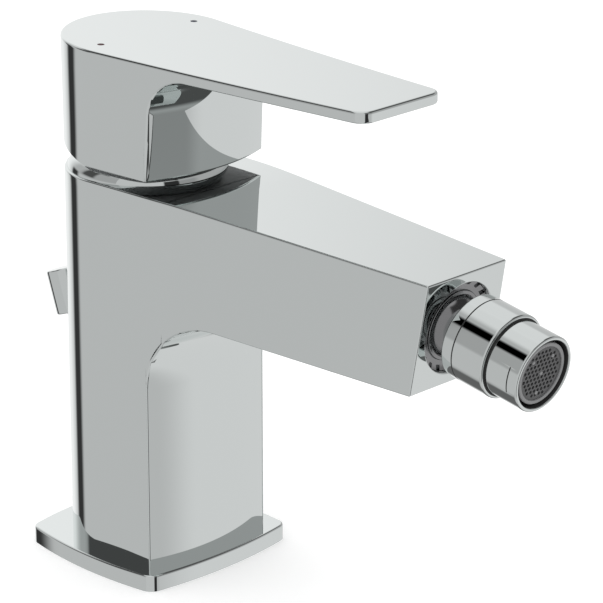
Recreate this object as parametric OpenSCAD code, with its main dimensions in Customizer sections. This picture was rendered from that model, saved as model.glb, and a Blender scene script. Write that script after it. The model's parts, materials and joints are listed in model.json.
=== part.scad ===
// Single-lever bidet mixer with a ball-jointed nozzle and a pull rod for the waste.
// Lengths are in millimetres. The spout points to -Y, +Z is up, and the origin is the
// middle of the base plate's underside.

/* [Base plate] */
// Thickness of the plate under the column
plate_t = 4.8; // [3.5:0.1:8]
// Distance from the middle to the front edge
plate_front = 28.9; // [27:0.1:34]
// Distance from the middle to the rear edge
plate_rear = 29.2; // [27:0.1:34]
// Half width at the front corners
plate_half_front = 27.6; // [26:0.1:33]
// Half width at the rear corners
plate_half_rear = 24.1; // [23:0.1:30]
// Height of the bow in each edge
plate_bow = 2.7; // [1.5:0.1:3.5]
// Radius of the plate's corners
plate_corner = 4; // [2:0.1:6]
// Radius of the way through for hoses, stud and rod
hose_way_r = 17; // [16:0.1:18]
// Distance of the way through ahead of the plate's middle
hose_way_ahead = 1; // [0:0.1:2]
// Mean radius of the sealing ring under the plate
base_seal_r = 22; // [21:0.1:23]
// Width of the sealing ring
base_seal_w = 2.8; // [2:0.1:3.2]
// Height of the sealing ring
base_seal_h = 2; // [1.5:0.1:2.5]

/* [Column] */
// Height of the column's flat top above the deck
column_top = 114.5; // [105:0.1:130]
// Half width of the column, also the radius of its back
column_half = 23.44; // [22.5:0.1:26]
// How far the column's axis lies behind the plate's middle
column_back = 0.8; // [0:0.1:2]
// Distance from the plate's middle to the bowed front
column_front = 24.3; // [23:0.1:27]
// Height of the bow across the front
column_bow = 3.2; // [2:0.1:5]
// Thickness of the cast walls
body_wall = 3.5; // [2.5:0.1:4]
// Thickness of the floor under the cartridge
floor_t = 12; // [11:0.1:16]

/* [Spout] */
// Distance from the plate's middle to the top edge of the front face
spout_reach = 117.3; // [105:0.1:135]
// Drop of the top edge below the column's top
spout_drop = 5.8; // [3:0.1:9]
// Half width of the front face
spout_tip_half = 15.68; // [15.2:0.1:19]
// Height of the front face
spout_face_h = 31.4; // [30:0.1:36]
// Lean of the front face, set back at its foot
spout_undercut = 10.06; // [6:0.1:14]
// Fall of the underside towards the front
spout_under_tilt = 2.47; // [1:0.1:4]
// Radius of the arch between spout and column
spout_arch_r = 22; // [16:0.1:26]

/* [Connections] */
// Distance of each inlet from the middle plane
inlet_x = 8; // [7.5:0.1:8.4]
// Distance of the inlets behind the column's axis
inlet_back = 4; // [3:0.1:5]
// Radius of the inlet tubes
inlet_tube_r = 6.5; // [6:0.1:7]
// Radius of the water ways
water_r = 3.2; // [2.6:0.1:3.4]
// Radius of the inlets' tapped ends
inlet_tap_r = 4.5; // [4:0.1:5]
// Depth of the inlets' tapped ends
inlet_tap_depth = 10; // [8:0.1:14]
// Distance of the fixing stud ahead of the column's axis
stud_ahead = 10.8; // [10:0.1:12]
// Radius of the stud's tapped hole
stud_tap_r = 3.4; // [2.5:0.1:4]
// Depth of the stud's tapped hole
stud_tap_depth = 14; // [10:0.1:18]
// Radius of the boss around the stud's hole
stud_boss_r = 6.5; // [6:0.1:7.5]
// Height of the web's underside above the plate
web_rise = 3.2; // [2:0.1:6]
// Thickness of the web that joins the tubes
web_t = 8; // [5:0.1:12]
// Distance of the web's rear edge behind the column's axis
web_behind = 6; // [5:0.1:7]
// Thickness of the boss above the stud's hole
stud_cap_t = 4; // [2:0.1:6]

/* [Cartridge] */
// Radius of the cartridge
cart_r = 17.3; // [16.5:0.1:18]
// Wall of the cartridge housing
cart_wall = 2.3; // [1.5:0.1:2.5]
// Thickness of the cartridge's bottom
cart_base_t = 6; // [5:0.1:8]
// Thickness of the fixed ceramic disc
fixed_disc_t = 4; // [3:0.1:5]
// Radius of the moving ceramic disc
moving_disc_r = 11; // [10:0.1:12]
// Thickness of the moving ceramic disc
moving_disc_t = 3.95; // [3:0.05:5]
// Film between the two discs
disc_film = 0.05; // [0.02:0.01:0.1]
// Thickness of the carrier on the moving disc
carrier_t = 4; // [3.8:0.1:5]
// Step from the moving disc in to the carrier
carrier_step = 1; // [0.5:0.1:1.5]
// Thickness of the carrier under the stem's ball
carrier_floor = 0.6; // [0.4:0.1:0.8]
// Distance of the outlet port ahead of the column's axis
outlet_ahead = 9.3; // [9:0.1:9.8]
// Thickness of the rotor's flange
rotor_flange_t = 5.7; // [5:0.1:7]
// Radius of the rotor's neck
rotor_neck_r = 11.5; // [11:0.1:12.5]
// Height of the pivot above the rotor's flange
pivot_rise = 4; // [3:0.1:5]
// Radius of the pivot pin
pivot_r = 2; // [1.5:0.1:2.5]
// Recess of the pivot pin's ends in the rotor
pin_recess = 0.5; // [0.2:0.1:1]
// Thickness of the housing's lip over the rotor
housing_lip_t = 3.7; // [3:0.1:5]
// Wall of the nut that clamps the cartridge
nut_wall = 1.7; // [1.4:0.1:2.2]
// Thickness of the nut's flange
nut_flange_t = 4; // [3:0.1:5]
// Height of the nut above the column's top
nut_stand = 1.5; // [0.5:0.1:1.7]
// Outer radius of the port seals
port_seal_r = 4.6; // [4.4:0.1:4.8]
// Height of the port seals
port_seal_h = 1.5; // [1:0.1:2.5]

/* [Dome ring] */
// Radius of the ring's foot on the column
dome_foot_r = 22.64; // [21.6:0.01:23]
// Radius of the ring's rounding
dome_arc_r = 3.2; // [3:0.1:3.4]
// Thickness of the ring's sheet
dome_t = 0.6; // [0.4:0.1:0.7]
// Inset of the foot from the rounding's widest circle
dome_inset = 0.06; // [0.02:0.01:0.1]

/* [Lever] */
// Gap between the column's top and the lever
lever_gap = 3.75; // [3.4:0.05:6]
// Height of the lever's block at the column's axis
lever_h = 33.65; // [32:0.05:40]
// Radius of the lever's round back
lever_half = 24.75; // [24.4:0.05:26]
// Distance of the round back's centre ahead of the plate's middle
lever_ahead = 0.7; // [0.5:0.1:1]
// Half width of the lever's tip
lever_tip_half = 16.1; // [10:0.1:18]
// Distance from the plate's middle to the lever's tip
lever_reach = 94.7; // [80:0.1:110]
// Radius of the tip's corners
lever_corner = 4.5; // [3:0.1:9]
// Rise of the lever's top towards the back
lever_tilt = 1.15; // [0:0.05:3]
// Thickness of the paddle
paddle_t = 3.1; // [2.8:0.1:6]
// Radius of the arch under the paddle
lever_arch_r = 11.4; // [8:0.1:14]
// Distance from the plate's middle to the block's bowed front
block_front = 24.1; // [23:0.1:27]
// Height of the bow across the block's front
block_bow = 2.5; // [1.5:0.1:4]
// Half width of the block under the paddle
block_half = 23.1; // [22.3:0.1:23.2]
// Relief angle of the underside behind the axis
relief_tilt = 15.1; // [14:0.1:18]
// Wall between the hollow under the lever and its back
lever_wall = 4; // [3.5:0.1:5]
// Height of the hollow under the lever
lever_hollow_h = 21.5; // [21:0.1:24]
// Radius of the boss that holds the stem
stem_boss_r = 8.5; // [8:0.1:9.5]
// Height of the boss above the underside
stem_boss_rise = 3; // [3:0.1:5]
// Width of the square stem
stem_w = 8; // [7:0.1:8.5]
// Length of the stem inside the lever
stem_in_lever = 20; // [17:0.1:21]
// Radius of the ball at the stem's lower end
stem_ball_r = 2.4; // [2.2:0.1:2.6]
// Radius of the stem's neck above the ball
stem_neck_r = 2; // [1.5:0.1:2.2]
// Radius of the grub screw
grub_r = 2.5; // [2:0.1:3]
// Length of the grub screw
grub_len = 6; // [5:0.1:8]
// Height of the grub screw above the underside
grub_rise = 9.75; // [9:0.1:12]
// Radius of the cap over the grub screw
cap_r = 3; // [2.8:0.1:3.6]
// Recess of the cap in the lever's back
cap_recess = 0.4; // [0.2:0.1:0.8]
// Radius of the hot and cold dots
mark_r = 0.85; // [0.6:0.05:1.5]
// Depth of the hot and cold dots
mark_t = 0.6; // [0.4:0.1:1]
// Distance of the dots from the middle plane
mark_x = 18; // [14:0.1:19.5]

/* [Nozzle] */
// Radius of the socket in the front face
socket_r = 12.84; // [12.7:0.01:13.2]
// Depth of the socket behind the ball's centre
socket_back = 12; // [11.5:0.1:14]
// Length of the way from the spout's chamber into the socket
socket_way_len = 10.5; // [8:0.1:12]
// Step from that way in to the seat's hole
seat_step = 2; // [1.5:0.1:2.5]
// Gap between the nozzle's water way and the seat's hole
seat_hole_gap = 0.5; // [0.3:0.1:0.8]
// Radius of the ball
ball_r = 9.5; // [9:0.1:9.6]
// Depth of the ball's centre behind the front face
ball_depth = 5; // [4.5:0.1:5.5]
// Dip of the nozzle below the horizontal
nozzle_dip = 10.5; // [6:0.1:14]
// Turn of the nozzle towards -X
nozzle_turn = 1.5; // [0:0.1:4]
// Recess of the retaining nut's face
nut_recess = 1.6; // [1.2:0.1:2]
// Number of notches in the retaining nut
nut_notches = 12; // [6:1:16]
// Thickness of the slip ring around the ball
slip_t = 0.9; // [0.7:0.05:1.1]
// Radius of the small end of the nozzle's cone
cone_r = 8.8; // [8:0.1:9]
// Distance of the cone's small end from the front face
cone_start = 2.2; // [2:0.1:3]
// Radius of the collar
collar_r = 11.81; // [11.5:0.01:13]
// Distance of the collar from the front face
collar_start = 8.5; // [8:0.1:10]
// Length of the collar
collar_len = 10.4; // [9:0.1:13]
// Radius of the step behind the sleeve
step_r = 10.98; // [10.8:0.01:11.3]
// Length of the step behind the sleeve
step_len = 0.5; // [0.3:0.1:1]
// Radius of the sleeve
sleeve_r = 10.62; // [10.4:0.01:11]
// Length of the sleeve that shows
sleeve_len = 10.5; // [8:0.1:14]
// Inner radius of the sleeve's rim
rim_r = 8.84; // [8.6:0.01:8.9]
// Radius of the nozzle's water way
ball_bore_r = 4.5; // [3.5:0.1:4.8]
// Wall of the neck between ball and cone
neck_wall = 1; // [0.8:0.1:1.3]
// Radius of the aerator
core_r = 8; // [7.8:0.1:8.2]
// Radius of the aerator's mesh
mesh_r = 7; // [6.6:0.1:7.1]
// Thickness of the aerator's mesh
mesh_t = 0.8; // [0.5:0.1:1.2]
// Spacing of the mesh's holes
mesh_pitch = 1.25; // [1.2:0.05:2.4]
// Width of the bars between the mesh's holes
mesh_bar = 0.4; // [0.3:0.05:0.6]
// Thickness of the washer behind the aerator
washer_t = 1.5; // [1:0.1:2]
// Thickness of the collar's floor behind the washer
collar_floor_t = 2.5; // [2:0.1:3]
// Recess of the aerator behind the sleeve's rim
core_recess = 1; // [0.5:0.1:1.5]
// Recess of the mesh behind the aerator's end
mesh_recess = 2; // [1.2:0.1:2.5]

/* [Pull rod] */
// Lean of the rod to the back
rod_tilt = 19; // [15:0.1:21]
// Radius of the rod
rod_r = 2.5; // [2:0.1:2.8]
// Length of the rod below the knob
rod_len = 57; // [54:0.1:60]
// Radius of the knob
knob_r = 5.5; // [4.5:0.1:6.5]
// Length of the knob
knob_len = 13.1; // [11:0.1:18]
// Height of the knob's foot above the deck
knob_z = 63.5; // [62:0.1:66]
// Gap between the knob and the column's back
knob_gap = 2.76; // [2.6:0.01:4]
// Depth of the rod inside the knob
knob_hold = 8; // [6:0.1:10]
// Wall of the bush that guides the rod
bush_wall = 2; // [1.5:0.1:2.2]
// Length of the bush
bush_len = 10; // [8:0.1:11]
// Distance of the bush below the knob
bush_below = 43; // [42:0.1:45]
// Wall of the boss around the bush
rod_boss_wall = 1.75; // [1.5:0.05:2.5]
// Length of the boss above the bush
rod_boss_rise = 13; // [11:0.1:15]
// Gap around the rod above the bush
rod_way_gap = 0.7; // [0.5:0.1:1]

/* [Fits] */
// Gap of a seated or screwed fit
seat_fit = 0.1; // [0.05:0.01:0.2]
// Gap of a running fit
run_fit = 0.05; // [0.02:0.01:0.1]
// Gap between pieces that pass each other
pass_gap = 0.3; // [0.2:0.05:0.5]

/* [Hidden] */
$fn = 64;

// Overshoot of cuts, and a length past the whole part
cut = 1;
far = 300;

chrome = [0.82, 0.83, 0.84];
brass = [0.78, 0.62, 0.34];
grey_plastic = [0.55, 0.56, 0.57];
black_rubber = [0.08, 0.08, 0.08];
white_ceramic = [0.93, 0.92, 0.89];

// Radius of an arc over a chord of the given half length and bow
function bow_radius(half, bow) = (half * half + bow * bow) / (2 * bow);

// Points along an arc
function arc(centre, r, a0, a1, steps) =
  [for (i = [0:steps]) let (a = a0 + (a1 - a0) * i / steps) centre + r * [cos(a), sin(a)]];

// Point where two circles cross, to the right of the line from a to b
function crossing(a, ra, b, rb) =
  let (d = norm(b - a))
  let (t = (ra * ra - rb * rb + d * d) / (2 * d))
  let (u = (b - a) / d)
  a + t * u + sqrt(ra * ra - t * t) * [u[1], -u[0]];

// The same points on the other side of the middle plane, in the opposite order
function mirrored(points) = [for (i = [len(points) - 1:-1:0]) [-points[i][0], points[i][1]]];

// Direction of a point from a centre
function heading(centre, p) = atan2(p[1] - centre[1], p[0] - centre[0]);

// Sealing ring under the plate
base_seal_out = base_seal_r + base_seal_w / 2;
base_seal_in = base_seal_r - base_seal_w / 2;

// Outline of the base plate: four bowed edges with round corners, the right half first
plate_steps = 10;
front_arc_r = bow_radius(plate_half_front, plate_bow);
rear_arc_r = bow_radius(plate_half_rear, plate_bow);
front_corner = [plate_half_front, plate_bow - plate_front];
rear_corner = [plate_half_rear, plate_rear - plate_bow];
side_chord = rear_corner - front_corner;
side_arc_r = bow_radius(norm(side_chord) / 2, plate_bow);
side_out = [side_chord[1], -side_chord[0]] / norm(side_chord);
front_centre = [0, front_arc_r - plate_front];
rear_centre = [0, plate_rear - rear_arc_r];
side_centre = (front_corner + rear_corner) / 2 + (plate_bow - side_arc_r) * side_out;
front_round = crossing(side_centre, side_arc_r - plate_corner, front_centre, front_arc_r - plate_corner);
rear_round = crossing(rear_centre, rear_arc_r - plate_corner, side_centre, side_arc_r - plate_corner);
front_end = heading(front_centre, front_round);
side_start = heading(side_centre, front_round);
side_end = heading(side_centre, rear_round);
rear_start = heading(rear_centre, rear_round);
plate_right = concat(
  arc(front_centre, front_arc_r, -90, front_end, plate_steps),
  arc(front_round, plate_corner, front_end, side_start, plate_steps),
  arc(side_centre, side_arc_r, side_start, side_end, plate_steps),
  arc(rear_round, plate_corner, side_end, rear_start, plate_steps),
  arc(rear_centre, rear_arc_r, rear_start, 90, plate_steps));

// Column and spout
bow_r = bow_radius(column_half, column_bow);
bow_y = bow_r - column_front;
corner_y = column_bow - column_front;
spout_top_z = column_top - spout_drop;
spout_foot_z = spout_top_z - spout_face_h;
spout_foot_y = spout_face_h * tan(spout_undercut) - spout_reach;
under_slope = tan(spout_under_tilt);
top_slope = spout_drop / (spout_reach - column_front);
side_slope = (column_half - spout_tip_half) / (spout_reach + corner_y);
arch_rho = bow_r + spout_arch_r;
arch_z = under_z(bow_y - arch_rho) - spout_arch_r / cos(spout_under_tilt);

// Height of the spout's underside and top, and its half width, at a given y
function under_z(y) = spout_foot_z + under_slope * (y - spout_foot_y);
function top_z(y) = column_top + top_slope * min(0, y + column_front);
function half_at(y) = column_half + side_slope * min(0, y - corner_y);

// Cartridge stack, from the nut's top down to the floor of its pocket
axis_y = column_back;
nut_top = column_top + nut_stand;
housing_top = nut_top - nut_flange_t;
flange_top = housing_top - housing_lip_t - pass_gap;
flange_foot = flange_top - rotor_flange_t;
carrier_top = flange_foot - pass_gap;
disc_top = carrier_top - carrier_t;
fixed_top = disc_top - moving_disc_t - disc_film;
base_top = fixed_top - fixed_disc_t;
pocket_z = base_top - cart_base_t;
floor_foot = pocket_z - floor_t;
pivot_z = flange_top + pivot_rise;
pocket_r = cart_r + pass_gap;
housing_in = cart_r - cart_wall;
nut_in = cart_r + pass_gap;
nut_r = nut_in + nut_wall;
nut_pocket_r = nut_r + seat_fit;
nut_foot = housing_top - housing_lip_t - pass_gap;
nut_hole_r = rotor_neck_r + 3 * pass_gap;
ports = [[inlet_x, inlet_back], [-inlet_x, inlet_back], [0, -outlet_ahead]];
seal_wall = 1.4;
disc_chamber_r = 6.5;
disc_chamber_h = 2;

// The stem swings about the pivot, and its ball slides the moving disc under the rotor
lift_max = 16;
stem_ball_z = disc_top + carrier_floor + pass_gap + stem_ball_r;
ball_arm = pivot_z - stem_ball_z;
disc_travel = ball_arm * lift_max * PI / 180;
disc_y = axis_y + disc_travel / 2;
ball_pocket_r = stem_ball_r + 2 * seat_fit;
carrier_r = moving_disc_r - carrier_step;
stem_foot = flange_foot + pass_gap + stem_neck_r;
slot_half = stem_w / 2 + (pivot_z - flange_foot) * tan(lift_max) + pass_gap;
pin_len = 2 * (rotor_neck_r - pin_recess);
nut_slot_w = 3;

// Lever
lever_foot = column_top + lever_gap;
lever_top = lever_foot + lever_h;
lever_slope = tan(lever_tilt);
tip_centre = [lever_tip_half - lever_corner, lever_corner - lever_reach];
tip_steps = 10;
back_centre = [0, -lever_ahead];
tip_run = tip_centre - back_centre;
lever_taper = acos((lever_half - lever_corner) / norm(tip_run)) + heading([0, 0], tip_run);
lever_out = [cos(lever_taper), sin(lever_taper)];
block_r = bow_radius(block_half, block_bow);
block_y = block_r - block_front;
paddle_under = lever_top - paddle_t / cos(lever_tilt);
block_overlap = 2;
block_arch_rho = block_r + lever_arch_r;
block_arch_y = block_y - block_arch_rho;
block_arch_z = paddle_under + lever_slope * block_arch_y - lever_arch_r;
block_cut_y = block_arch_y - block_overlap;
hollow_r = column_half - lever_wall;
stem_top = lever_foot + stem_in_lever;
stem_hole_w = stem_w + 2 * seat_fit;
grub_z = lever_foot + grub_rise;
grub_tip = axis_y + stem_w / 2;
cap_back = axis_y + block_half - cap_recess;
cap_front = axis_y + hollow_r;
grub_key_r = 1.3;

// Dome ring: a sheet rounded down to the column's top
dome_mid_r = dome_foot_r + dome_inset - dome_arc_r;
dome_centre_z = column_top - sqrt(dome_arc_r * dome_arc_r - pow(dome_foot_r - dome_mid_r, 2));
dome_hole_r = rotor_neck_r + 2 * pass_gap;

// Nozzle: places along its axis are measured from the ball's centre
socket_y = (spout_foot_y - spout_reach) / 2;
socket_z = (spout_top_z + spout_foot_z) / 2;
ball_y = socket_y + ball_depth * cos(spout_undercut);
ball_z = socket_z + ball_depth * sin(spout_undercut);
seat_outer_r = socket_r - seat_fit;
nut_front = ball_depth - nut_recess;
nut_back = -0.6;
slip_in = ball_r + run_fit;
slip_out = slip_in + slip_t;
slip_from = 116;
slip_to = 150;
seat_r = slip_out + run_fit;
seat_hole_r = ball_bore_r + seat_hole_gap;
socket_way_r = seat_hole_r + seat_step;
cone_at = ball_depth + cone_start;
collar_at = ball_depth + collar_start;
step_at = collar_at + collar_len;
sleeve_at = step_at + step_len;
rim_at = sleeve_at + sleeve_len;
spigot_wall = 0.95;
core_flange_t = 2.5;
core_flange_r = rim_r + pass_gap;
spigot_in = core_flange_r + run_fit;
spigot_r = spigot_in + spigot_wall;
collar_bore_r = spigot_r + run_fit;
washer_at = collar_at + collar_floor_t;
spigot_at = washer_at + washer_t;
core_ledge = spigot_at + core_flange_t;
core_end = rim_at - core_recess;
mesh_at = core_end - mesh_recess;
core_bore_r = 6;
washer_in = core_bore_r;

// Pull rod: places along its axis are measured from the knob's foot
knob_y = axis_y + column_half + knob_gap + knob_r * cos(rod_tilt);
bush_r = rod_r + run_fit + bush_wall;
bush_foot = -bush_below - bush_len;
rod_boss_r = bush_r + rod_boss_wall;
rod_way_r = rod_r + rod_way_gap;
rod_boss_top = rod_boss_rise - bush_below;
web_foot = plate_t + web_rise;
web_back = axis_y + web_behind;
stud_boss_h = stud_tap_depth + stud_cap_t;

// A ring or disc from a foot radius to an outer radius
module ring(r_out, r_in, h) {
  difference() {
    cylinder(r = r_out, h = h);
    translate([0, 0, -cut]) cylinder(r = r_in, h = h + 2 * cut);
  }
}

// Turned solid whose profile is drawn as radius and height
module turned() {
  rotate_extrude() children();
}

// Frames in which the children's +Z runs along a piece's own axis
module on_axis(z) {
  translate([0, axis_y, z]) children();
}
module at_ports(z) {
  for (p = ports) translate([p[0], axis_y + p[1], z]) children();
}
module along_socket() {
  translate([0, ball_y, ball_z]) rotate([90 + spout_undercut, 0, 0]) children();
}
module along_nozzle() {
  translate([0, ball_y, ball_z]) rotate([90 + nozzle_dip, 0, -nozzle_turn]) children();
}
module along_rod() {
  translate([0, knob_y, knob_z]) rotate([-rod_tilt, 0, 0]) children();
}
module on_lever_top() {
  translate([0, 0, lever_top]) rotate([lever_tilt, 0, 0]) children();
}
module along_grub(y) {
  translate([0, y, grub_z]) rotate([-90, 0, 0]) children();
}

// Solid swept across the part from an outline drawn as y and z
module across(half) {
  rotate([90, 0, 90]) linear_extrude(2 * half, center = true) children();
}

// Front of a block: bowed in plan, with an arch up to an overhang that falls with a slope.
// The profile turns about a vertical axis behind the block.
module arched_front(axis, r_front, r_arch, z_low, z_arch, z_high, slope) {
  rho = r_front + r_arch;
  tangent = [rho + r_arch * sin(slope), z_arch + r_arch * cos(slope)];
  translate([0, axis, 0]) rotate_extrude() difference() {
    polygon([
      [0, z_low], [r_front, z_low], [r_front, z_arch], [tangent[0], z_arch], tangent,
      [far, tangent[1] - (far - tangent[0]) * tan(slope)], [far, z_high], [0, z_high]
    ]);
    translate([rho, z_arch]) circle(r = r_arch);
  }
}

module plate_outline() {
  polygon(concat(plate_right, mirrored(plate_right)));
}

// Plan of column and spout, drawn in by a wall
module body_plan(wall) {
  translate([0, axis_y]) circle(r = column_half - wall, $fn = 128);
  polygon([
    [column_half - wall, axis_y], [half_at(corner_y) - wall, corner_y],
    [spout_tip_half - wall, -spout_reach], [wall - spout_tip_half, -spout_reach],
    [wall - half_at(corner_y), corner_y], [wall - column_half, axis_y]
  ]);
}

// Side view of column and spout
module body_side() {
  foot_y = spout_foot_y + spout_foot_z * tan(spout_undercut);
  back_y = axis_y + column_half + cut;
  polygon([
    [back_y, plate_t], [back_y, column_top], [-column_front, column_top],
    [-spout_reach, spout_top_z], [foot_y - plate_t * tan(spout_undercut), plate_t]
  ]);
}

module body_outer() {
  intersection() {
    linear_extrude(column_top + cut) body_plan(0);
    across(column_half + cut) body_side();
    arched_front(bow_y, bow_r, spout_arch_r, 0, arch_z, column_top + cut, spout_under_tilt);
  }
}

// Hollow of the column below the cartridge's floor
module column_hollow() {
  intersection() {
    translate([0, 0, plate_t - cut]) linear_extrude(floor_foot - plate_t + cut) body_plan(body_wall);
    translate([0, bow_y, 0]) cylinder(r = bow_r - body_wall, h = column_top, $fn = 256);
  }
}

// Water chamber of the spout
module spout_chamber() {
  back_y = axis_y - nut_pocket_r - body_wall;
  front_y = ball_y + (socket_back + body_wall) * cos(spout_undercut);
  intersection() {
    linear_extrude(column_top) body_plan(body_wall);
    across(column_half) polygon([
      [back_y, under_z(back_y) + body_wall], [back_y, top_z(back_y) - body_wall],
      [-column_front, column_top - body_wall], [front_y, top_z(front_y) - body_wall],
      [front_y, under_z(front_y) + body_wall]
    ]);
  }
}

// Web, tubes and bosses inside the column's hollow
module body_inner() {
  intersection() {
    linear_extrude(column_top) body_plan(body_wall / 2);
    translate([0, bow_y, 0]) cylinder(r = bow_r - body_wall / 2, h = column_top, $fn = 256);
    union() {
      translate([-column_half, -column_front, web_foot])
        cube([2 * column_half, column_front + web_back, web_t]);
      for (side = [-1, 1]) translate([side * inlet_x, axis_y + inlet_back, web_foot])
        cylinder(r = inlet_tube_r, h = pocket_z - web_foot);
      translate([0, axis_y - stud_ahead, web_foot]) cylinder(r = stud_boss_r, h = stud_boss_h);
      along_rod() translate([0, 0, bush_foot]) cylinder(r = rod_boss_r, h = rod_boss_top - bush_foot);
    }
  }
}

// Slanted way from the outlet port into the spout's chamber
module outlet_way() {
  start_z = pocket_z - 2 * water_r;
  rise = under_z(-column_front) + body_wall + water_r - start_z;
  run = column_front + water_r + axis_y - outlet_ahead;
  on_axis(start_z) translate([0, -outlet_ahead, 0]) cylinder(r = water_r, h = 2 * water_r + cut);
  on_axis(start_z) translate([0, -outlet_ahead, 0]) sphere(r = water_r);
  on_axis(start_z) translate([0, -outlet_ahead, 0]) rotate([atan2(run, rise), 0, 0])
    cylinder(r = water_r, h = norm([run, rise]));
}

module base_plate() {
  color(chrome) difference() {
    linear_extrude(plate_t) plate_outline();
    translate([0, -hose_way_ahead, -cut]) cylinder(r = hose_way_r, h = plate_t + 2 * cut);
    translate([0, 0, -cut]) ring(base_seal_out + seat_fit, base_seal_in - seat_fit, base_seal_h + cut);
  }
}

module base_seal() {
  color(black_rubber) ring(base_seal_out, base_seal_in, base_seal_h);
}

module body() {
  color(chrome) difference() {
    union() {
      difference() {
        body_outer();
        column_hollow();
      }
      body_inner();
    }
    spout_chamber();
    on_axis(pocket_z) cylinder(r = pocket_r, h = column_top);
    on_axis(nut_foot - cut) cylinder(r = nut_pocket_r, h = column_top);
    for (side = [-1, 1]) translate([side * inlet_x, axis_y + inlet_back, 0]) {
      cylinder(r = water_r, h = column_top);
      cylinder(r = inlet_tap_r, h = web_foot + inlet_tap_depth);
    }
    translate([0, axis_y - stud_ahead, 0]) cylinder(r = stud_tap_r, h = web_foot + stud_tap_depth);
    outlet_way();
    along_socket() translate([0, 0, -socket_back]) cylinder(r = socket_r, h = far);
    along_socket() translate([0, 0, -socket_back - socket_way_len]) cylinder(r = socket_way_r, h = far);
    along_rod() translate([0, 0, bush_foot - far]) cylinder(r = bush_r + seat_fit, h = bush_len + far);
    along_rod() translate([0, 0, bush_foot]) cylinder(r = rod_way_r, h = far);
  }
}

module cartridge_base() {
  color(grey_plastic) on_axis(pocket_z) difference() {
    cylinder(r = cart_r, h = cart_base_t);
    for (p = ports) translate([p[0], p[1], -cut]) {
      cylinder(r = water_r, h = cart_base_t + 2 * cut);
      cylinder(r = port_seal_r + seat_fit, h = port_seal_h + cut);
    }
  }
}

module port_seals() {
  color(black_rubber) at_ports(pocket_z) ring(port_seal_r, port_seal_r - seal_wall, port_seal_h);
}

module cartridge_housing() {
  color(grey_plastic) on_axis(base_top) difference() {
    cylinder(r = cart_r, h = housing_top - base_top);
    translate([0, 0, -cut]) cylinder(r = housing_in, h = housing_top - housing_lip_t - base_top + cut);
    cylinder(r = rotor_neck_r + pass_gap, h = far);
  }
}

module fixed_disc() {
  color(white_ceramic) on_axis(base_top) difference() {
    cylinder(r = housing_in - pass_gap, h = fixed_disc_t);
    for (p = ports) translate([p[0], p[1], -cut])
      cylinder(r = water_r, h = fixed_disc_t + 2 * cut);
  }
}

module moving_disc() {
  color(white_ceramic) translate([0, disc_y, fixed_top + disc_film]) difference() {
    cylinder(r = moving_disc_r, h = moving_disc_t);
    translate([0, 0, -cut]) cylinder(r = disc_chamber_r, h = disc_chamber_h + cut);
  }
}

module disc_carrier() {
  color(grey_plastic) translate([0, 0, disc_top]) difference() {
    translate([0, disc_y, 0]) cylinder(r = carrier_r, h = carrier_t);
    translate([0, axis_y, carrier_floor]) cylinder(r = ball_pocket_r, h = carrier_t);
  }
}

module rotor() {
  color(grey_plastic) on_axis(0) difference() {
    union() {
      translate([0, 0, flange_foot]) cylinder(r = housing_in - pass_gap, h = rotor_flange_t);
      translate([0, 0, flange_foot]) cylinder(r = rotor_neck_r, h = nut_top - flange_foot);
    }
    translate([-stem_w / 2 - pass_gap, -slot_half, flange_foot - cut])
      cube([stem_w + 2 * pass_gap, 2 * slot_half, nut_top - flange_foot + 2 * cut]);
    translate([-far / 2, 0, pivot_z]) rotate([0, 90, 0]) cylinder(r = pivot_r, h = far);
  }
}

module pivot_pin() {
  color("silver") on_axis(pivot_z) rotate([0, 90, 0]) cylinder(r = pivot_r, h = pin_len, center = true);
}

module stem() {
  color("silver") on_axis(0) difference() {
    union() {
      translate([0, 0, stem_ball_z]) sphere(r = stem_ball_r);
      translate([0, 0, stem_ball_z]) cylinder(r = stem_neck_r, h = stem_foot - stem_ball_z + cut);
      translate([-stem_w / 2, -stem_w / 2, stem_foot]) cube([stem_w, stem_w, stem_top - stem_foot]);
    }
    translate([-far / 2, 0, pivot_z]) rotate([0, 90, 0]) cylinder(r = pivot_r + run_fit, h = far);
  }
}

module cartridge_nut() {
  color(brass) on_axis(nut_foot) difference() {
    cylinder(r = nut_r, h = nut_top - nut_foot);
    translate([0, 0, -cut]) cylinder(r = nut_in, h = housing_top - nut_foot + cut);
    cylinder(r = nut_hole_r, h = far);
    for (a = [0, 90]) rotate([0, 0, a])
      translate([-far / 2, -nut_slot_w / 2, nut_top - nut_foot - nut_stand]) cube([far, nut_slot_w, far]);
  }
}

module dome_ring() {
  color(chrome) on_axis(dome_centre_z) turned() difference() {
    union() {
      translate([dome_mid_r, 0]) circle(r = dome_arc_r);
      translate([dome_hole_r, 0]) square([dome_mid_r - dome_hole_r, dome_arc_r]);
    }
    translate([dome_mid_r, 0]) circle(r = dome_arc_r - dome_t);
    translate([0, -dome_arc_r]) square([dome_mid_r, 2 * dome_arc_r - dome_t]);
    translate([0, -far]) square([far, far + column_top - dome_centre_z]);
  }
}

// Plan of the lever's top: a round back, straight sides and round corners at the tip
module lever_plan() {
  back = back_centre + lever_half * lever_out;
  right = concat([back], arc(tip_centre, lever_corner, lever_taper, -90, tip_steps));
  translate(back_centre) circle(r = lever_half);
  polygon(concat(right, mirrored(right)));
}

// Plan of the block before its front and sides are trimmed
module block_plan() {
  translate([0, axis_y]) circle(r = block_half);
  translate([-block_half, block_cut_y]) square([2 * block_half, axis_y - block_cut_y]);
}

module paddle() {
  on_lever_top() translate([0, 0, -paddle_t]) linear_extrude(paddle_t) lever_plan();
}

// Block over the column, with its arch up to the paddle
module lever_block() {
  intersection() {
    translate([0, 0, lever_foot]) linear_extrude(far) block_plan();
    on_lever_top() translate([0, 0, -paddle_t / 2 - far]) linear_extrude(far) lever_plan();
    arched_front(block_y, block_r, lever_arch_r, 0, block_arch_z, far, 0);
  }
}

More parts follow.
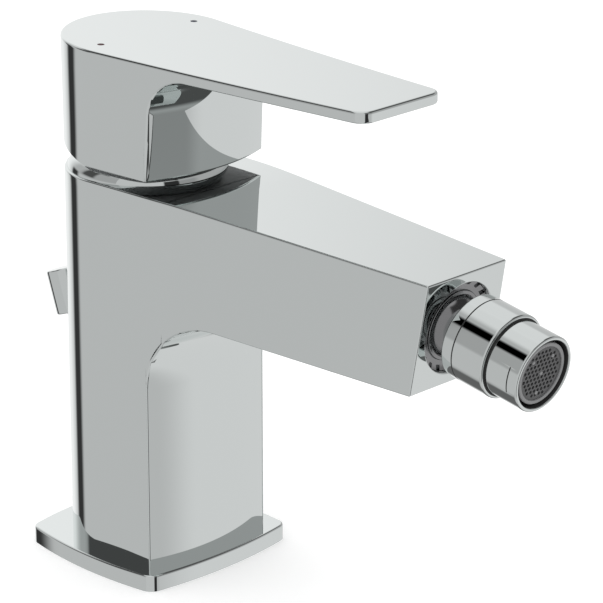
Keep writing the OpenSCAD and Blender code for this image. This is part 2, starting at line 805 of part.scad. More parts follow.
module lever() {
  color(chrome) difference() {
    union() {
      paddle();
      lever_block();
    }
    on_axis(lever_foot) rotate([relief_tilt, 0, 0]) translate([-far / 2, 0, -far]) cube(far);
    difference() {
      on_axis(lever_foot - cut) cylinder(r = hollow_r, h = lever_hollow_h + cut);
      on_axis(lever_foot + stem_boss_rise) cylinder(r = stem_boss_r, h = far);
    }
    on_axis(0) translate([-stem_hole_w / 2, -stem_hole_w / 2, 0])
      cube([stem_hole_w, stem_hole_w, stem_top + seat_fit]);
    along_grub(axis_y) cylinder(r = grub_r + seat_fit, h = hollow_r - cut);
    along_grub(axis_y) cylinder(r = cap_r + seat_fit, h = far);
    for (side = [-1, 1]) on_lever_top() translate([side * mark_x, 0, -mark_t])
      cylinder(r = mark_r, h = mark_t + cut);
  }
}

module grub_screw() {
  color("dimgray") along_grub(grub_tip) difference() {
    cylinder(r = grub_r, h = grub_len);
    translate([0, 0, grub_len / 2]) cylinder(r = grub_key_r, h = grub_len, $fn = 6);
  }
}

module screw_cap() {
  color(grey_plastic) along_grub(cap_front) cylinder(r = cap_r, h = cap_back - cap_front);
}

module mark(side) {
  on_lever_top() translate([side * mark_x, 0, -mark_t]) cylinder(r = mark_r, h = mark_t);
}

module hot_mark() {
  color("crimson") mark(-1);
}

module cold_mark() {
  color("royalblue") mark(1);
}

module nozzle_nut() {
  notch_w = 1.2;
  notch_d = 0.8;
  color("dimgray") along_socket() difference() {
    turned() difference() {
      translate([0, nut_back]) square([seat_outer_r, nut_front - nut_back]);
      circle(r = slip_in);
    }
    for (i = [0:nut_notches - 1]) rotate([0, 0, i * 360 / nut_notches])
      translate([0, -notch_w / 2, nut_front - notch_d]) cube([far, notch_w, far]);
  }
}

module ball_seat() {
  seat_h = socket_back + nut_back - seat_fit;
  color(black_rubber) along_socket() turned() difference() {
    translate([seat_hole_r, -socket_back]) square([seat_outer_r - seat_hole_r, seat_h]);
    circle(r = seat_r);
  }
}

module slip_ring() {
  color(grey_plastic) along_nozzle() turned() intersection() {
    difference() {
      circle(r = slip_out);
      circle(r = slip_in);
    }
    polygon([[0, 0], far * [sin(slip_from), cos(slip_from)], far * [sin(slip_to), cos(slip_to)]]);
  }
}

module nozzle_ball() {
  color(chrome) along_nozzle() difference() {
    union() {
      sphere(r = ball_r);
      turned() polygon([
        [0, 0], [ball_bore_r + neck_wall, 0], [ball_bore_r + neck_wall, cone_at], [cone_r, cone_at],
        [collar_r, collar_at], [collar_r, step_at], [step_r, step_at], [step_r, sleeve_at], [0, sleeve_at]
      ]);
    }
    translate([0, 0, -far / 2]) cylinder(r = ball_bore_r, h = far);
    translate([0, 0, washer_at]) cylinder(r = collar_bore_r, h = far);
  }
}

module nozzle_sleeve() {
  color(chrome) along_nozzle() turned() polygon([
    [spigot_in, spigot_at], [spigot_r, spigot_at], [spigot_r, sleeve_at], [sleeve_r, sleeve_at],
    [sleeve_r, rim_at], [rim_r, rim_at], [rim_r, core_ledge], [spigot_in, core_ledge]
  ]);
}

module aerator_core() {
  color(grey_plastic) along_nozzle() turned() polygon([
    [core_bore_r, spigot_at], [core_flange_r, spigot_at], [core_flange_r, core_ledge], [core_r, core_ledge],
    [core_r, core_end], [mesh_r, core_end], [mesh_r, mesh_at], [core_bore_r, mesh_at]
  ]);
}

// Round mesh of six-sided holes in rows
module aerator_mesh() {
  hole_r = (mesh_pitch - mesh_bar) / sqrt(3);
  rows = ceil(mesh_r / mesh_pitch) + 1;
  color("dimgray") along_nozzle() translate([0, 0, mesh_at]) difference() {
    cylinder(r = mesh_r, h = mesh_t);
    for (u = [-2 * rows:2 * rows], v = [-rows:rows]) {
      spot = mesh_pitch * [u + v / 2, v * sqrt(3) / 2, 0];
      if (norm(spot) < mesh_r - hole_r - mesh_bar)
        translate(spot - [0, 0, cut]) rotate([0, 0, 30]) cylinder(r = hole_r, h = mesh_t + 2 * cut, $fn = 6);
    }
  }
}

module aerator_washer() {
  color(black_rubber) along_nozzle() translate([0, 0, washer_at]) ring(spigot_r, washer_in, washer_t);
}

module pull_rod() {
  color(chrome) along_rod() translate([0, 0, -rod_len]) cylinder(r = rod_r, h = rod_len + knob_hold);
}

module rod_knob() {
  color(chrome) along_rod() difference() {
    cylinder(r = knob_r, h = knob_len);
    translate([0, 0, -cut]) cylinder(r = rod_r, h = knob_hold + cut);
  }
}

module rod_bush() {
  color(grey_plastic) along_rod() translate([0, 0, bush_foot]) ring(bush_r, rod_r + run_fit, bush_len);
}

base_plate();
base_seal();
body();
cartridge_base();
port_seals();
cartridge_housing();
fixed_disc();
moving_disc();
disc_carrier();
rotor();
pivot_pin();
stem();
cartridge_nut();
dome_ring();
lever();
grub_screw();
screw_cap();
hot_mark();
cold_mark();
nozzle_nut();
ball_seat();
slip_ring();
nozzle_ball();
nozzle_sleeve();
aerator_core();
aerator_mesh();
aerator_washer();
pull_rod();
rod_knob();
rod_bush();
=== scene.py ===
"""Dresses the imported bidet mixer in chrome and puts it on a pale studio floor."""

import json
import math

import bmesh
import bpy
from bpy.props import FloatProperty, FloatVectorProperty, IntProperty, PointerProperty
from bpy.types import Operator, Panel, PropertyGroup
from mathutils import Matrix, Vector


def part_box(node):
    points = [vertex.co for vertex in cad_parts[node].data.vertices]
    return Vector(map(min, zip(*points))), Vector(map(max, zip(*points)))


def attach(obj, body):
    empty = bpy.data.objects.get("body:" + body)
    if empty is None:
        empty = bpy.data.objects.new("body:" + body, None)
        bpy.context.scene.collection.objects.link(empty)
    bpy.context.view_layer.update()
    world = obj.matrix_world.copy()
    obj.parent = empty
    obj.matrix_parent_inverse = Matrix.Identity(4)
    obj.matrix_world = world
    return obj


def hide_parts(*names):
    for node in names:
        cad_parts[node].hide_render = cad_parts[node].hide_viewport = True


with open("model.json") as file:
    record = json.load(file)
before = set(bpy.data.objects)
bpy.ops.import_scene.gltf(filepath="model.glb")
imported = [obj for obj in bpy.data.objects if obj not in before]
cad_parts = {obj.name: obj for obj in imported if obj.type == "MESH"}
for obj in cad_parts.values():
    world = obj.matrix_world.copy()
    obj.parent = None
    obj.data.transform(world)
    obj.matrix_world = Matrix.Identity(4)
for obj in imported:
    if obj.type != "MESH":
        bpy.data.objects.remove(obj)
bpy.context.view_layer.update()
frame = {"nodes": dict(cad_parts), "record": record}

bl_info = {
    "name": "Bidet mixer",
    "version": (1, 0, 0),
    "blender": (4, 5, 0),
    "location": "View3D > Sidebar > Mixer",
    "description": "Models the visible pieces of a bidet mixer over its CAD frame",
    "category": "Object",
}

MM = 0.001
QUARTER_TURN = math.pi / 2
HAIR = 0.0001 * MM  # tolerance of cuts by a plane
FINE = 0.02 * MM  # tolerance when faces are told apart
FIT = 0.05 * MM  # clearance between pieces that sit in each other
SMALL_EDGE = 0.3 * MM  # rounding of small edges
TINY_EDGE = 0.2 * MM  # rounding of edges that hardly show
FAR = 260 * MM  # farther out than the mixer reaches
SHARP = math.radians(30.0)  # edges over this angle are rounded
SMOOTH = math.radians(32.0)  # edges under this angle are shaded smooth
WIDE_SIDES = 128  # sides of the round pieces that show most
SIDES = 96  # sides of the other round pieces
SMALL_SIDES = 48  # sides of small round pieces and holes


def length(name, description, millimetres):
    """A length in metres, written in millimetres."""
    return FloatProperty(
        name=name, description=description, default=millimetres * MM, min=0.0,
        unit='LENGTH', subtype='DISTANCE')


def angle(name, description, degrees):
    """An angle in radians, written in degrees."""
    return FloatProperty(
        name=name, description=description, default=math.radians(degrees), subtype='ANGLE')


def factor(name, description, value):
    """A share or a level of light."""
    return FloatProperty(name=name, description=description, default=value, min=0.0, subtype='FACTOR')


class PlateSizes(PropertyGroup):
    """The base plate."""

    front: length("Front", "Distance from the middle to the front edge", 28.9)
    rear: length("Rear", "Distance from the middle to the rear edge", 29.2)
    half_front: length("Front half width", "Half width at the front corners", 27.6)
    half_rear: length("Rear half width", "Half width at the rear corners", 24.1)
    bow: length("Bow", "Height of the bow in each edge", 2.7)
    corner: length("Corner", "Radius of the corners", 4.0)
    edge: length("Edge", "Rounding of the upper edge", 0.6)
    hose_way: length("Hose way", "Radius of the way through for hoses, stud and rod", 17.0)
    hose_way_ahead: length("Hose way ahead", "Distance of the way ahead of the middle", 1.0)
    seal_groove: length("Seal groove", "Mean radius of the groove for the sealing ring", 22.0)
    seal_groove_width: length("Groove width", "Width of the groove for the sealing ring", 3.0)
    seal_groove_depth: length("Groove depth", "Depth of the groove for the sealing ring", 2.0)


class BodySizes(PropertyGroup):
    """Column and spout."""

    half: length("Half width", "Half width of the column, also the radius of its back", 23.44)
    axis_back: length("Axis", "Distance of the column's axis behind the plate's middle", 0.8)
    front: length("Front", "Distance from the middle to the bowed front", 24.3)
    bow: length("Bow", "Height of the bow across the front", 3.2)
    reach: length("Reach", "Distance from the middle to the front face's upper edge", 117.3)
    drop: length("Drop", "Drop of the spout's top towards the front", 5.8)
    tip_half: length("Tip half width", "Half width of the front face", 15.68)
    face_height: length("Face height", "Height of the front face", 31.4)
    undercut: angle("Undercut", "Lean of the front face, set back at its foot", 10.06)
    under_tilt: angle("Underside", "Fall of the underside towards the front", 2.47)
    arch: length("Arch", "Radius of the arch between spout and column", 22.0)
    edge: length("Edge", "Rounding of the sharp edges", 0.55)
    top_blend: length("Top blend", "Length over which column top and spout top meet", 30.0)
    side_blend: length("Side blend", "Length over which column side and spout side meet", 16.0)
    socket: length("Socket", "Radius of the hole in the front face", 12.84)
    socket_depth: length("Socket depth", "Depth of the hole behind the front face", 17.0)
    pocket: length("Pocket", "Radius of the pocket for the cartridge", 17.6)
    pocket_depth: length("Pocket depth", "Depth of the pocket for the cartridge", 30.5)
    nut_pocket: length("Nut pocket", "Radius of the pocket for the cartridge's nut", 19.4)
    nut_pocket_depth: length("Nut pocket depth", "Depth of the pocket for the cartridge's nut", 7.5)
    wall: length("Wall", "Thickness of the walls", 3.5)
    web_rise: length("Web", "Height of the web above the plate", 3.2)
    inlet: length("Inlet", "Radius of the inlets", 4.5)
    inlet_x: length("Inlet place", "Distance of the inlets from the middle plane", 8.0)
    inlet_back: length("Inlet back", "Distance of the inlets behind the plate's middle", 4.8)
    inlet_depth: length("Inlet depth", "Depth of the inlets", 10.0)
    stud: length("Stud", "Radius of the fixing stud's hole", 3.4)
    stud_ahead: length("Stud ahead", "Distance of the stud's hole ahead of the middle", 10.0)
    stud_depth: length("Stud depth", "Depth of the stud's hole", 14.0)


class LeverSizes(PropertyGroup):
    """Lever with its block and paddle."""

    half: length("Half width", "Radius of the round back of the top", 24.75)
    ahead: length("Ahead", "Distance of that round's centre ahead of the middle", 0.7)
    tip_half: length("Tip half width", "Half width of the tip", 16.1)
    reach: length("Reach", "Distance from the middle to the tip", 94.7)
    corner: length("Corner", "Radius of the tip's corners", 4.5)
    tilt: angle("Tilt", "Rise of the top towards the back", 1.15)
    dish: length("Dish", "Rise of the top's gentle curve up to its back", 0.9)
    dish_at: length("Dish place", "Distance of the curve's lowest place ahead of the middle", 58.0)
    top_edge: length("Top edge", "Rounding of the top edge", 0.75)
    edge: length("Edge", "Rounding of the other edges", 0.6)
    foot_half: length("Foot half width", "Half width of the foot, also the radius of its back", 23.4)
    foot_front: length("Foot front", "Half width of the foot at its front corners", 23.0)
    paddle: length("Paddle", "Thickness of the paddle", 3.1)
    arch: length("Arch", "Radius of the arch under the paddle", 11.4)
    front: length("Front", "Distance from the middle to the foot of the block's bowed front", 26.2)
    bow: length("Bow", "Height of the bow across the block's front", 4.8)
    lean: angle("Lean", "Lean of the block's front, further forward at its top", 2.7)
    block_half: length("Block half width", "Half width of the block", 23.1)
    height: length("Height", "Height of the block at the plate's middle", 33.65)
    relief: angle("Relief", "Relief angle of the underside behind the axis", 15.1)
    hollow: length("Hollow", "Radius of the hollow under the block", 19.44)
    hollow_height: length("Hollow height", "Height of the hollow under the block", 21.5)
    boss: length("Boss", "Radius of the boss that holds the stem", 8.5)
    boss_rise: length("Boss rise", "Height of the boss above the underside", 3.0)
    stem_hole: length("Stem hole", "Width of the square hole for the stem", 8.2)
    stem_hole_height: length("Stem hole height", "Height of the stem's hole above the underside", 20.1)
    screw_rise: length("Screw", "Height of the screw's hole above the underside", 9.75)
    screw_hole: length("Screw hole", "Radius of the screw's hole", 2.6)
    cap_hole: length("Cap hole", "Radius of the hole for the screw's cap", 3.1)
    mark: length("Mark", "Radius of the hot and cold dots", 1.0)
    mark_crown: length("Mark crown", "Height of the dots' crown", 0.05)
    mark_x: length("Mark place", "Distance of the dots from the middle plane", 18.0)
    mark_depth: length("Mark depth", "Depth of the dots", 0.6)


class DomeSizes(PropertyGroup):
    """Domed ring between column and lever."""

    middle: length("Middle", "Radius of the circle on which the rounding's centre lies", 17.68)
    arc: length("Rounding", "Radius of the rounding", 5.0)
    height: length("Height", "Height of the ring above the column's top", 3.3)
    sink: length("Sink", "Depth of the rounding's centre below the column's top", 0.62)
    sheet: length("Sheet", "Thickness of the ring's sheet", 0.6)
    hole: length("Hole", "Radius of the hole in the ring", 12.1)


class NozzleSizes(PropertyGroup):
    """Ball-jointed nozzle. Stations run along its axis from the ball's centre."""

    dip: angle("Dip", "Dip of the nozzle below the horizontal", 10.5)
    turn: angle("Turn", "Turn of the nozzle towards -X", 1.5)
    ball: length("Ball", "Radius of the ball", 9.5)
    ball_depth: length("Ball depth", "Depth of the ball's centre behind the front face", 5.0)
    bore: length("Bore", "Radius of the water way", 4.5)
    neck_at: length("Neck station", "Station where the ball goes over into the collar's back", 7.2)
    collar: length("Collar", "Radius of the collar", 11.81)
    collar_at: length("Collar station", "Station of the collar's rear edge", 9.95)
    collar_end: length("Collar end", "Station of the collar's front edge", 23.9)
    collar_edge: length("Collar edge", "Rounding of the collar's front edge", 0.7)
    back_edge: length("Back edge", "Rounding of the collar's rear edge", 0.5)
    line_at: length("Line station", "Station of the fine joint line around the collar", 13.5)
    line: length("Line", "Half width and depth of the fine joint line", 0.2)
    step: length("Step", "Radius of the groove behind the sleeve", 10.45)
    step_end: length("Step end", "Station of the groove's end", 24.4)
    sleeve: length("Sleeve", "Radius of the sleeve", 10.62)
    sleeve_end: length("Sleeve end", "Station of the sleeve's rim", 34.9)
    bore_end: length("Sleeve bore", "Inner radius of the sleeve behind its mouth", 8.84)
    mouth: length("Mouth", "Inner radius of the sleeve's mouth", 9.6)
    mouth_at: length("Mouth station", "Station of the step behind the mouth", 31.0)
    rim_edge: length("Rim edge", "Rounding of the rim's outer edge", 0.6)
    slit_at: length("Slit station", "Station of the fine slit in the sleeve's side", 31.6)
    slit_turn: angle("Slit turn", "Turn of the slit from the top towards -X", 91.0)
    slit: length("Slit", "Depth of the slit at its middle", 0.65)
    slit_width: length("Slit width", "Width of the slit", 0.35)
    spigot: length("Spigot", "Radius of the sleeve's spigot in the collar", 10.14)
    spigot_bore: length("Spigot bore", "Radius of the bore in the spigot", 9.19)
    spigot_at: length("Spigot station", "Station of the spigot's end", 17.5)
    ledge_at: length("Ledge station", "Station of the ledge that holds the aerator", 20.0)
    washer_at: length("Washer station", "Station of the washer", 16.0)
    core: length("Aerator", "Radius of the aerator", 8.0)
    core_bore: length("Aerator bore", "Radius of the bore behind the mesh", 6.0)
    core_rim: length("Aerator rim", "Radius of the aerator's rim in the mouth", 8.7)
    core_end: length("Aerator end", "Station of the aerator's end", 34.2)
    mesh: length("Mesh", "Radius of the aerator's mesh", 7.6)
    mesh_at: length("Mesh station", "Station of the mesh", 33.0)
    mesh_thickness: length("Mesh thickness", "Thickness of the mesh", 0.8)
    mesh_pitch: length("Mesh pitch", "Spacing of the mesh's holes", 1.4)
    mesh_bar: length("Mesh bar", "Width of the bars between the holes", 0.5)
    stud: length("Stud", "Radius of the aerator's studs in the mesh", 0.55)
    stud_ring: length("Stud ring", "Radius of the circle on which the outer studs stand", 5.5)
    nut: length("Nut", "Radius of the retaining nut", 12.74)
    nut_at: length("Nut station", "Station of the retaining nut's back, behind the centre", 0.6)
    nut_recess: length("Nut recess", "Recess of the nut's face behind the front face", 1.6)
    nut_lip: length("Nut lip", "Width of the nut's lip around the ball", 1.0)
    nut_dish: length("Nut dish", "Depth of the dished face between lip and notches", 0.7)
    notches: IntProperty(name="Notches", description="Number of notches in the nut", default=20, min=3)
    notch_width: length("Notch width", "Width of the notches", 1.6)
    notch_depth: length("Notch depth", "Depth of the notches", 1.0)
    notch_foot: length("Notch foot", "Radius at which the notches end", 11.4)


class RodSizes(PropertyGroup):
    """Pull rod with its knob. Stations run along its axis from the knob's foot."""

    foot_y: length("Foot back", "Distance of the knob's foot behind the middle", 32.2)
    foot_z: length("Foot height", "Height of the knob's foot", 63.5)
    tilt: angle("Tilt", "Lean of the rod to the back", 19.0)
    rod: length("Rod", "Radius of the rod", 2.5)
    rod_length: length("Rod length", "Length of the rod below the knob", 57.0)
    knob: length("Knob", "Radius of the knob", 5.5)
    knob_length: length("Knob length", "Length of the knob", 13.1)
    knob_edge: length("Knob edge", "Rounding of the knob's edges", 0.5)
    hold: length("Hold", "Depth of the rod in the knob", 8.0)
    bush: length("Bush", "Radius of the guide bush's seat", 4.65)
    bush_top: length("Bush top", "Distance of the bush's upper end below the knob", 43.0)
    bush_foot: length("Bush foot", "Distance of the bush's lower end below the knob", 53.0)
    way: length("Way", "Radius of the rod's way through the column", 3.2)


class StudioLook(PropertyGroup):
    """Camera, floor and light."""

    camera: FloatVectorProperty(
        name="Camera", description="Place of the camera", subtype='TRANSLATION', unit='LENGTH',
        default=(-0.625303, -0.643874, 0.378306))
    heading: angle("Heading", "Turn of the camera about the vertical", -46.879)
    look_down: angle("Look down", "Dip of the camera's axis", 18.7685)
    lens: FloatProperty(name="Lens", description="Focal length in millimetres", default=198.53, min=1.0)
    floor: length("Floor", "Width of the floor", 8000.0)
    white: factor("White", "Level of the soft light all around", 1.0)
    grey: factor("Grey", "Level that reflections see where there is no panel", 0.5)
    floor_glow: factor("Floor glow", "Light of the lit floor itself, as the camera sees it", 0.22)


def keep(piece):
    """Leaves just this piece selected and active."""
    bpy.ops.object.select_all(action='DESELECT')
    piece.select_set(True)
    bpy.context.view_layer.objects.active = piece


def edit(piece, mode='VERT'):
    """Opens a piece for editing with all of it selected."""
    keep(piece)
    bpy.ops.object.mode_set(mode='EDIT')
    bpy.ops.mesh.select_mode(type=mode)
    bpy.ops.mesh.select_all(action='SELECT')


def close():
    """Leaves edit mode."""
    bpy.ops.object.mode_set(mode='OBJECT')


def tidy(piece):
    """Merges doubles, drops loose edges and turns the faces outwards."""
    edit(piece)
    bpy.ops.mesh.remove_doubles(threshold=10 * HAIR)
    bpy.ops.mesh.delete_loose(use_verts=True, use_edges=True, use_faces=False)
    bpy.ops.mesh.select_all(action='SELECT')
    bpy.ops.mesh.normals_make_consistent(inside=False)
    close()


def outline(name, points):
    """Adds a filled outline through points in order."""
    bpy.ops.mesh.primitive_circle_add(vertices=len(points), fill_type='NGON')
    piece = bpy.context.object
    piece.name = name
    piece.data.name = name
    for vertex, point in zip(piece.data.vertices, points):
        vertex.co = point
    return piece


def lofted(name, rings):
    """Adds a solid that is extruded through outlines of equal length.

    The outline is selected at first, and each extrusion leaves its new outline selected."""
    piece = outline(name, rings[0])
    edit(piece)
    close()
    for ring in rings[1:]:
        keep(piece)
        bpy.ops.object.mode_set(mode='EDIT')
        bpy.ops.mesh.extrude_region_move()
        close()
        moved = [vertex for vertex in piece.data.vertices if vertex.select]
        for vertex, point in zip(moved, ring):
            vertex.co = point
    tidy(piece)
    return piece


def put(piece, place):
    """Moves a piece to its place and applies the move to its mesh."""
    keep(piece)
    piece.matrix_world = place
    bpy.ops.object.transform_apply(location=True, rotation=True, scale=True)
    return piece


def turned(name, profile, place, steps=SIDES):
    """Adds a solid spun from a profile of radius and height about the place's Z axis."""
    piece = outline(name, [Vector((radius, 0.0, height)) for radius, height in profile])
    edit(piece)
    bpy.ops.mesh.delete(type='ONLY_FACE')
    bpy.ops.mesh.select_all(action='SELECT')
    bpy.ops.mesh.spin(steps=steps, angle=2.0 * math.pi, center=(0.0, 0.0, 0.0), axis=(0.0, 0.0, 1.0))
    close()
    tidy(piece)
    return put(piece, place)


def swept(name, profile, axis_y, reach, steps):
    """Adds a solid swept from a profile about a vertical axis, to both sides of the -Y direction."""
    turn = Matrix.Rotation(reach - QUARTER_TURN, 3, 'Z')
    piece = outline(name, [turn @ Vector((radius, 0.0, height)) for radius, height in profile])
    edit(piece)
    bpy.ops.mesh.spin(
        steps=steps, angle=2.0 * reach, center=(0.0, 0.0, 0.0), axis=(0.0, 0.0, 1.0))
    close()
    tidy(piece)
    return put(piece, Matrix.Translation((0.0, axis_y, 0.0)))


def rod(radius, low, high, place, sides=SIDES):
    """Adds a round cutter between two heights on the place's Z axis."""
    bpy.ops.mesh.primitive_cylinder_add(vertices=sides, radius=radius, depth=high - low)
    middle = Matrix.Translation((0.0, 0.0, (low + high) / 2))
    return put(bpy.context.object, place @ middle)


def block(low, high, place):
    """Adds a box cutter between two corners."""
    bpy.ops.mesh.primitive_cube_add(size=1.0)
    low = Vector(low)
    high = Vector(high)
    scale = Matrix.Diagonal(high - low).to_4x4()
    return put(bpy.context.object, place @ Matrix.Translation((low + high) / 2) @ scale)


def joined(pieces):
    """Joins pieces into the first of them."""
    keep(pieces[0])
    for piece in pieces[1:]:
        piece.select_set(True)
    bpy.ops.object.join()
    return pieces[0]


def cut(piece, *cutters):
    """Takes the cutters away from a piece."""
    for cutter in cutters:
        keep(piece)
        modifier = piece.modifiers.new("Cut", 'BOOLEAN')
        modifier.operation = 'DIFFERENCE'
        modifier.solver = 'EXACT'
        modifier.object = cutter
        bpy.ops.object.modifier_apply(modifier=modifier.name)
        bpy.data.objects.remove(cutter)


def slice_off(piece, point, normal):
    """Takes away what lies beyond a plane and closes the cut."""
    edit(piece)
    bpy.ops.mesh.bisect(
        plane_co=point, plane_no=normal, use_fill=True, clear_outer=True, threshold=HAIR)
    close()


def ease(piece, radius, test, segments=3):
    """Rounds the sharp edges whose middle passes the test."""
    edit(piece, 'EDGE')
    bpy.ops.mesh.select_all(action='DESELECT')
    mesh = bmesh.from_edit_mesh(piece.data)
    for edge in mesh.edges:
        if edge.is_manifold and edge.calc_face_angle() > SHARP:
            middle = (edge.verts[0].co + edge.verts[1].co) / 2
            edge.select_set(test(middle))
    bmesh.update_edit_mesh(piece.data)
    bpy.ops.mesh.bevel(
        offset=radius, offset_type='OFFSET', segments=segments, profile=0.5, clamp_overlap=False)
    close()


def arc(centre, radius, first, last, steps):
    """Points along an arc in the plane."""
    points = []
    for step in range(steps + 1):
        turn = first + (last - first) * step / steps
        points.append(Vector(centre) + radius * Vector((math.cos(turn), math.sin(turn))))
    return points


def fillet(before, corner, after, radius, steps=6):
    """Points of the rounding at a corner in the plane."""
    corner = Vector(corner)
    back = (Vector(before) - corner).normalized()
    ahead = (Vector(after) - corner).normalized()
    half = back.angle(ahead) / 2
    middle = (back + ahead).normalized()
    centre = corner + middle * radius / math.sin(half)
    first = (corner + back * radius / math.tan(half)) - centre
    sweep = math.pi - 2 * half
    if back.x * ahead.y - back.y * ahead.x > 0:
        sweep = -sweep
    start = math.atan2(first.y, first.x)
    return arc(centre, radius, start, start + sweep, steps)


def softened(corners, steps=6):
    """A closed outline through corners; a corner's third number is the radius that rounds it."""
    points = [Vector(corner[:2]) for corner in corners]
    result = []
    for index, corner in enumerate(corners):
        if len(corner) > 2:
            after = points[(index + 1) % len(points)]
            result += fillet(points[index - 1], points[index], after, corner[2], steps)
        else:
            result.append(points[index])
    return result


def inset(points, distance):
    """A closed outline, counter-clockwise, drawn in by a distance."""
    result = []
    for index, point in enumerate(points):
        along = (points[(index + 1) % len(points)] - points[index - 1]).normalized()
        result.append(point + distance * Vector((-along.y, along.x)))
    return result


def rounded_rings(points, radius, height, steps=6):
    """Outlines of a rounded upper edge; height gives the top's height at a point."""
    rings = []
    for step in range(steps + 1):
        turn = QUARTER_TURN * step / steps
        drawn = inset(points, radius * (1.0 - math.cos(turn)))
        drop = radius * (1.0 - math.sin(turn))
        rings.append([Vector((p.x, p.y, height(p) - drop)) for p in drawn])
    return rings


def raised(points, height):
    """An outline of the plane, raised to a height."""
    return [Vector((p.x, p.y, height)) for p in points]


def mirrored(points):
    """Points on the other side of the middle plane, in reverse order."""
    return [Vector((-p.x, p.y)) for p in reversed(points)]


def bow_radius(half, bow):
    """Radius of an arc over a chord of the given half length and bow."""
    return (half * half + bow * bow) / (2 * bow)


def arch_profile(front, arch, low, arch_z, slope, far, lean=0.0):
    """Profile of what a bowed front leaves open: below an overhang, with an arch.

    The front's radius is given at the arch's centre; it leans forward to its top."""
    rho = front + arch
    points = [Vector((front - (arch_z - low) * math.tan(lean), low))]
    points += arc((rho, arch_z), arch, math.pi - lean, QUARTER_TURN - slope, 28)
    end = points[-1]
    points.append(Vector((far, end.y - (far - end.x) * math.tan(slope))))
    points.append(Vector((far, low)))
    return points


def socket_place(sizes):
    """Frame at the ball's centre with +Z out of the spout's front face."""
    ball = Vector(joint("nozzle_dip")["pos_m"])
    return Matrix.Translation(ball) @ Matrix.Rotation(QUARTER_TURN + sizes.undercut, 4, 'X')


def nozzle_place(sizes):
    """Frame at the ball's centre with +Z along the nozzle."""
    ball = Vector(joint("nozzle_dip")["pos_m"])
    turn = Matrix.Rotation(-sizes.turn, 4, 'Z')
    return Matrix.Translation(ball) @ turn @ Matrix.Rotation(QUARTER_TURN + sizes.dip, 4, 'X')


def lever_top(sizes, top, y):
    """Height of the lever's gently curved top, given its plain height at the middle."""
    curve = (y + sizes.dish_at) / (sizes.dish_at + sizes.half - sizes.ahead)
    return top + math.tan(sizes.tilt) * y + sizes.dish * curve * curve


def mark_place(sizes, top, side):
    """Frame of a dot in the lever's top with +Z out of it."""
    step = 0.1 * MM
    rise = lever_top(sizes, top, step) - lever_top(sizes, top, -step)
    place = Matrix.Translation((side * sizes.mark_x, 0.0, lever_top(sizes, top, 0.0)))
    return place @ Matrix.Rotation(math.atan2(rise, 2 * step), 4, 'X')


def rod_place(sizes):
    """Frame at the knob's foot with +Z along the rod."""
    foot = Matrix.Translation((0.0, sizes.foot_y, sizes.foot_z))
    return foot @ Matrix.Rotation(-sizes.tilt, 4, 'X')


def joint(name):
    """The record's joint of that name."""
    for entry in frame["record"]["behaviour"]["joints"]:
        if entry["name"] == name:
            return entry
    raise RuntimeError("the record has no joint " + name)


def feed(tree, node, inputs):
    """Gives inputs of a shader node a value, or a link from the socket that feeds it."""
    for key, value in dict(inputs).items():
        if isinstance(value, bpy.types.NodeSocket):
            tree.links.new(value, node.inputs[key])
        else:
            node.inputs[key].default_value = value


def add_node(tree, kind, inputs=(), **options):
    """Adds a shader node with its inputs and options."""
    node = tree.nodes.new(kind)
    for name, value in options.items():
        setattr(node, name, value)
    feed(tree, node, inputs)
    return node


def add_maths(tree, operation, *values):
    """Adds a maths node and returns its result."""
    return add_node(tree, 'ShaderNodeMath', enumerate(values), operation=operation).outputs["Value"]


def add_group(name, inputs, output):
    """Adds an empty node group with float sockets."""
    group = bpy.data.node_groups.new(name, 'ShaderNodeTree')
    for socket in inputs:
        group.interface.new_socket(socket, in_out='INPUT', socket_type='NodeSocketFloat')
    group.interface.new_socket(output, in_out='OUTPUT', socket_type='NodeSocketFloat')
    return group


def grain_group():
    """Value that varies softly over a surface, built once and used by each material."""
    group = bpy.data.node_groups.get("SurfaceGrain")
    if group:
        return group
    group = add_group("SurfaceGrain", ("Scale", "Low", "High"), "Value")
    entry = group.nodes.new('NodeGroupInput').outputs
    place = group.nodes.new('ShaderNodeTexCoord').outputs["Object"]
    noise = add_node(
        group, 'ShaderNodeTexNoise', {"Vector": place, "Scale": entry["Scale"], "Detail": 3.0})
    spread = add_node(group, 'ShaderNodeMapRange', {
        "Value": noise.outputs["Fac"], "From Min": 0.3, "From Max": 0.7,
        "To Min": entry["Low"], "To Max": entry["High"]})
    add_node(group, 'NodeGroupOutput', {"Value": spread.outputs["Result"]})
    return group


# Panels around the studio, each over the ones before it: name, headings from left to right and
# rises from low to high in degrees, softness of the edge in degrees, level
PANELS = (
    ("behind the camera", -200, -100, -90, 90, 10, 0.62),
    ("left wall", 112, 200, -48, 4, 4, 0.58),
    ("left wall above", 112, 200, 4, 36, 4, 0.42),
    ("lit floor ahead", -100, 14, -66, -8, 6, 0.75),
    ("its darker end", -110, -63, -66, -8, 10, 0.57),
    ("grey wall ahead", -100, 20, -8, 28, 6, 0.45),
    ("the wall's darker end", -110, -62, -8, 18, 6, 0.33),
    ("dark above it", -110, 10, 28, 62, 6, 0.1),
    ("bright wall", 36, 86, -50, 75, 14, 1.0),
    ("its top", 22, 100, 30, 64, 5, 0.82),
    ("dark below", 18, 104, -95, -36, 6, 0.14),
    ("gap at the side", 92, 109, -34, 6, 4, 0.04),
    ("gap at the front", -112, -90, -60, 20, 1.5, 0.03),
    ("dark flag", 118, 142, 8, 52, 4, 0.08),
    ("dark flag's end", 80, 118, 44, 56, 3, 0.1),
    ("dark flag's top", 124, 160, 37, 53, 3, 0.0),
    ("light from above", -200, 200, 62, 95, 4, 0.8),
)


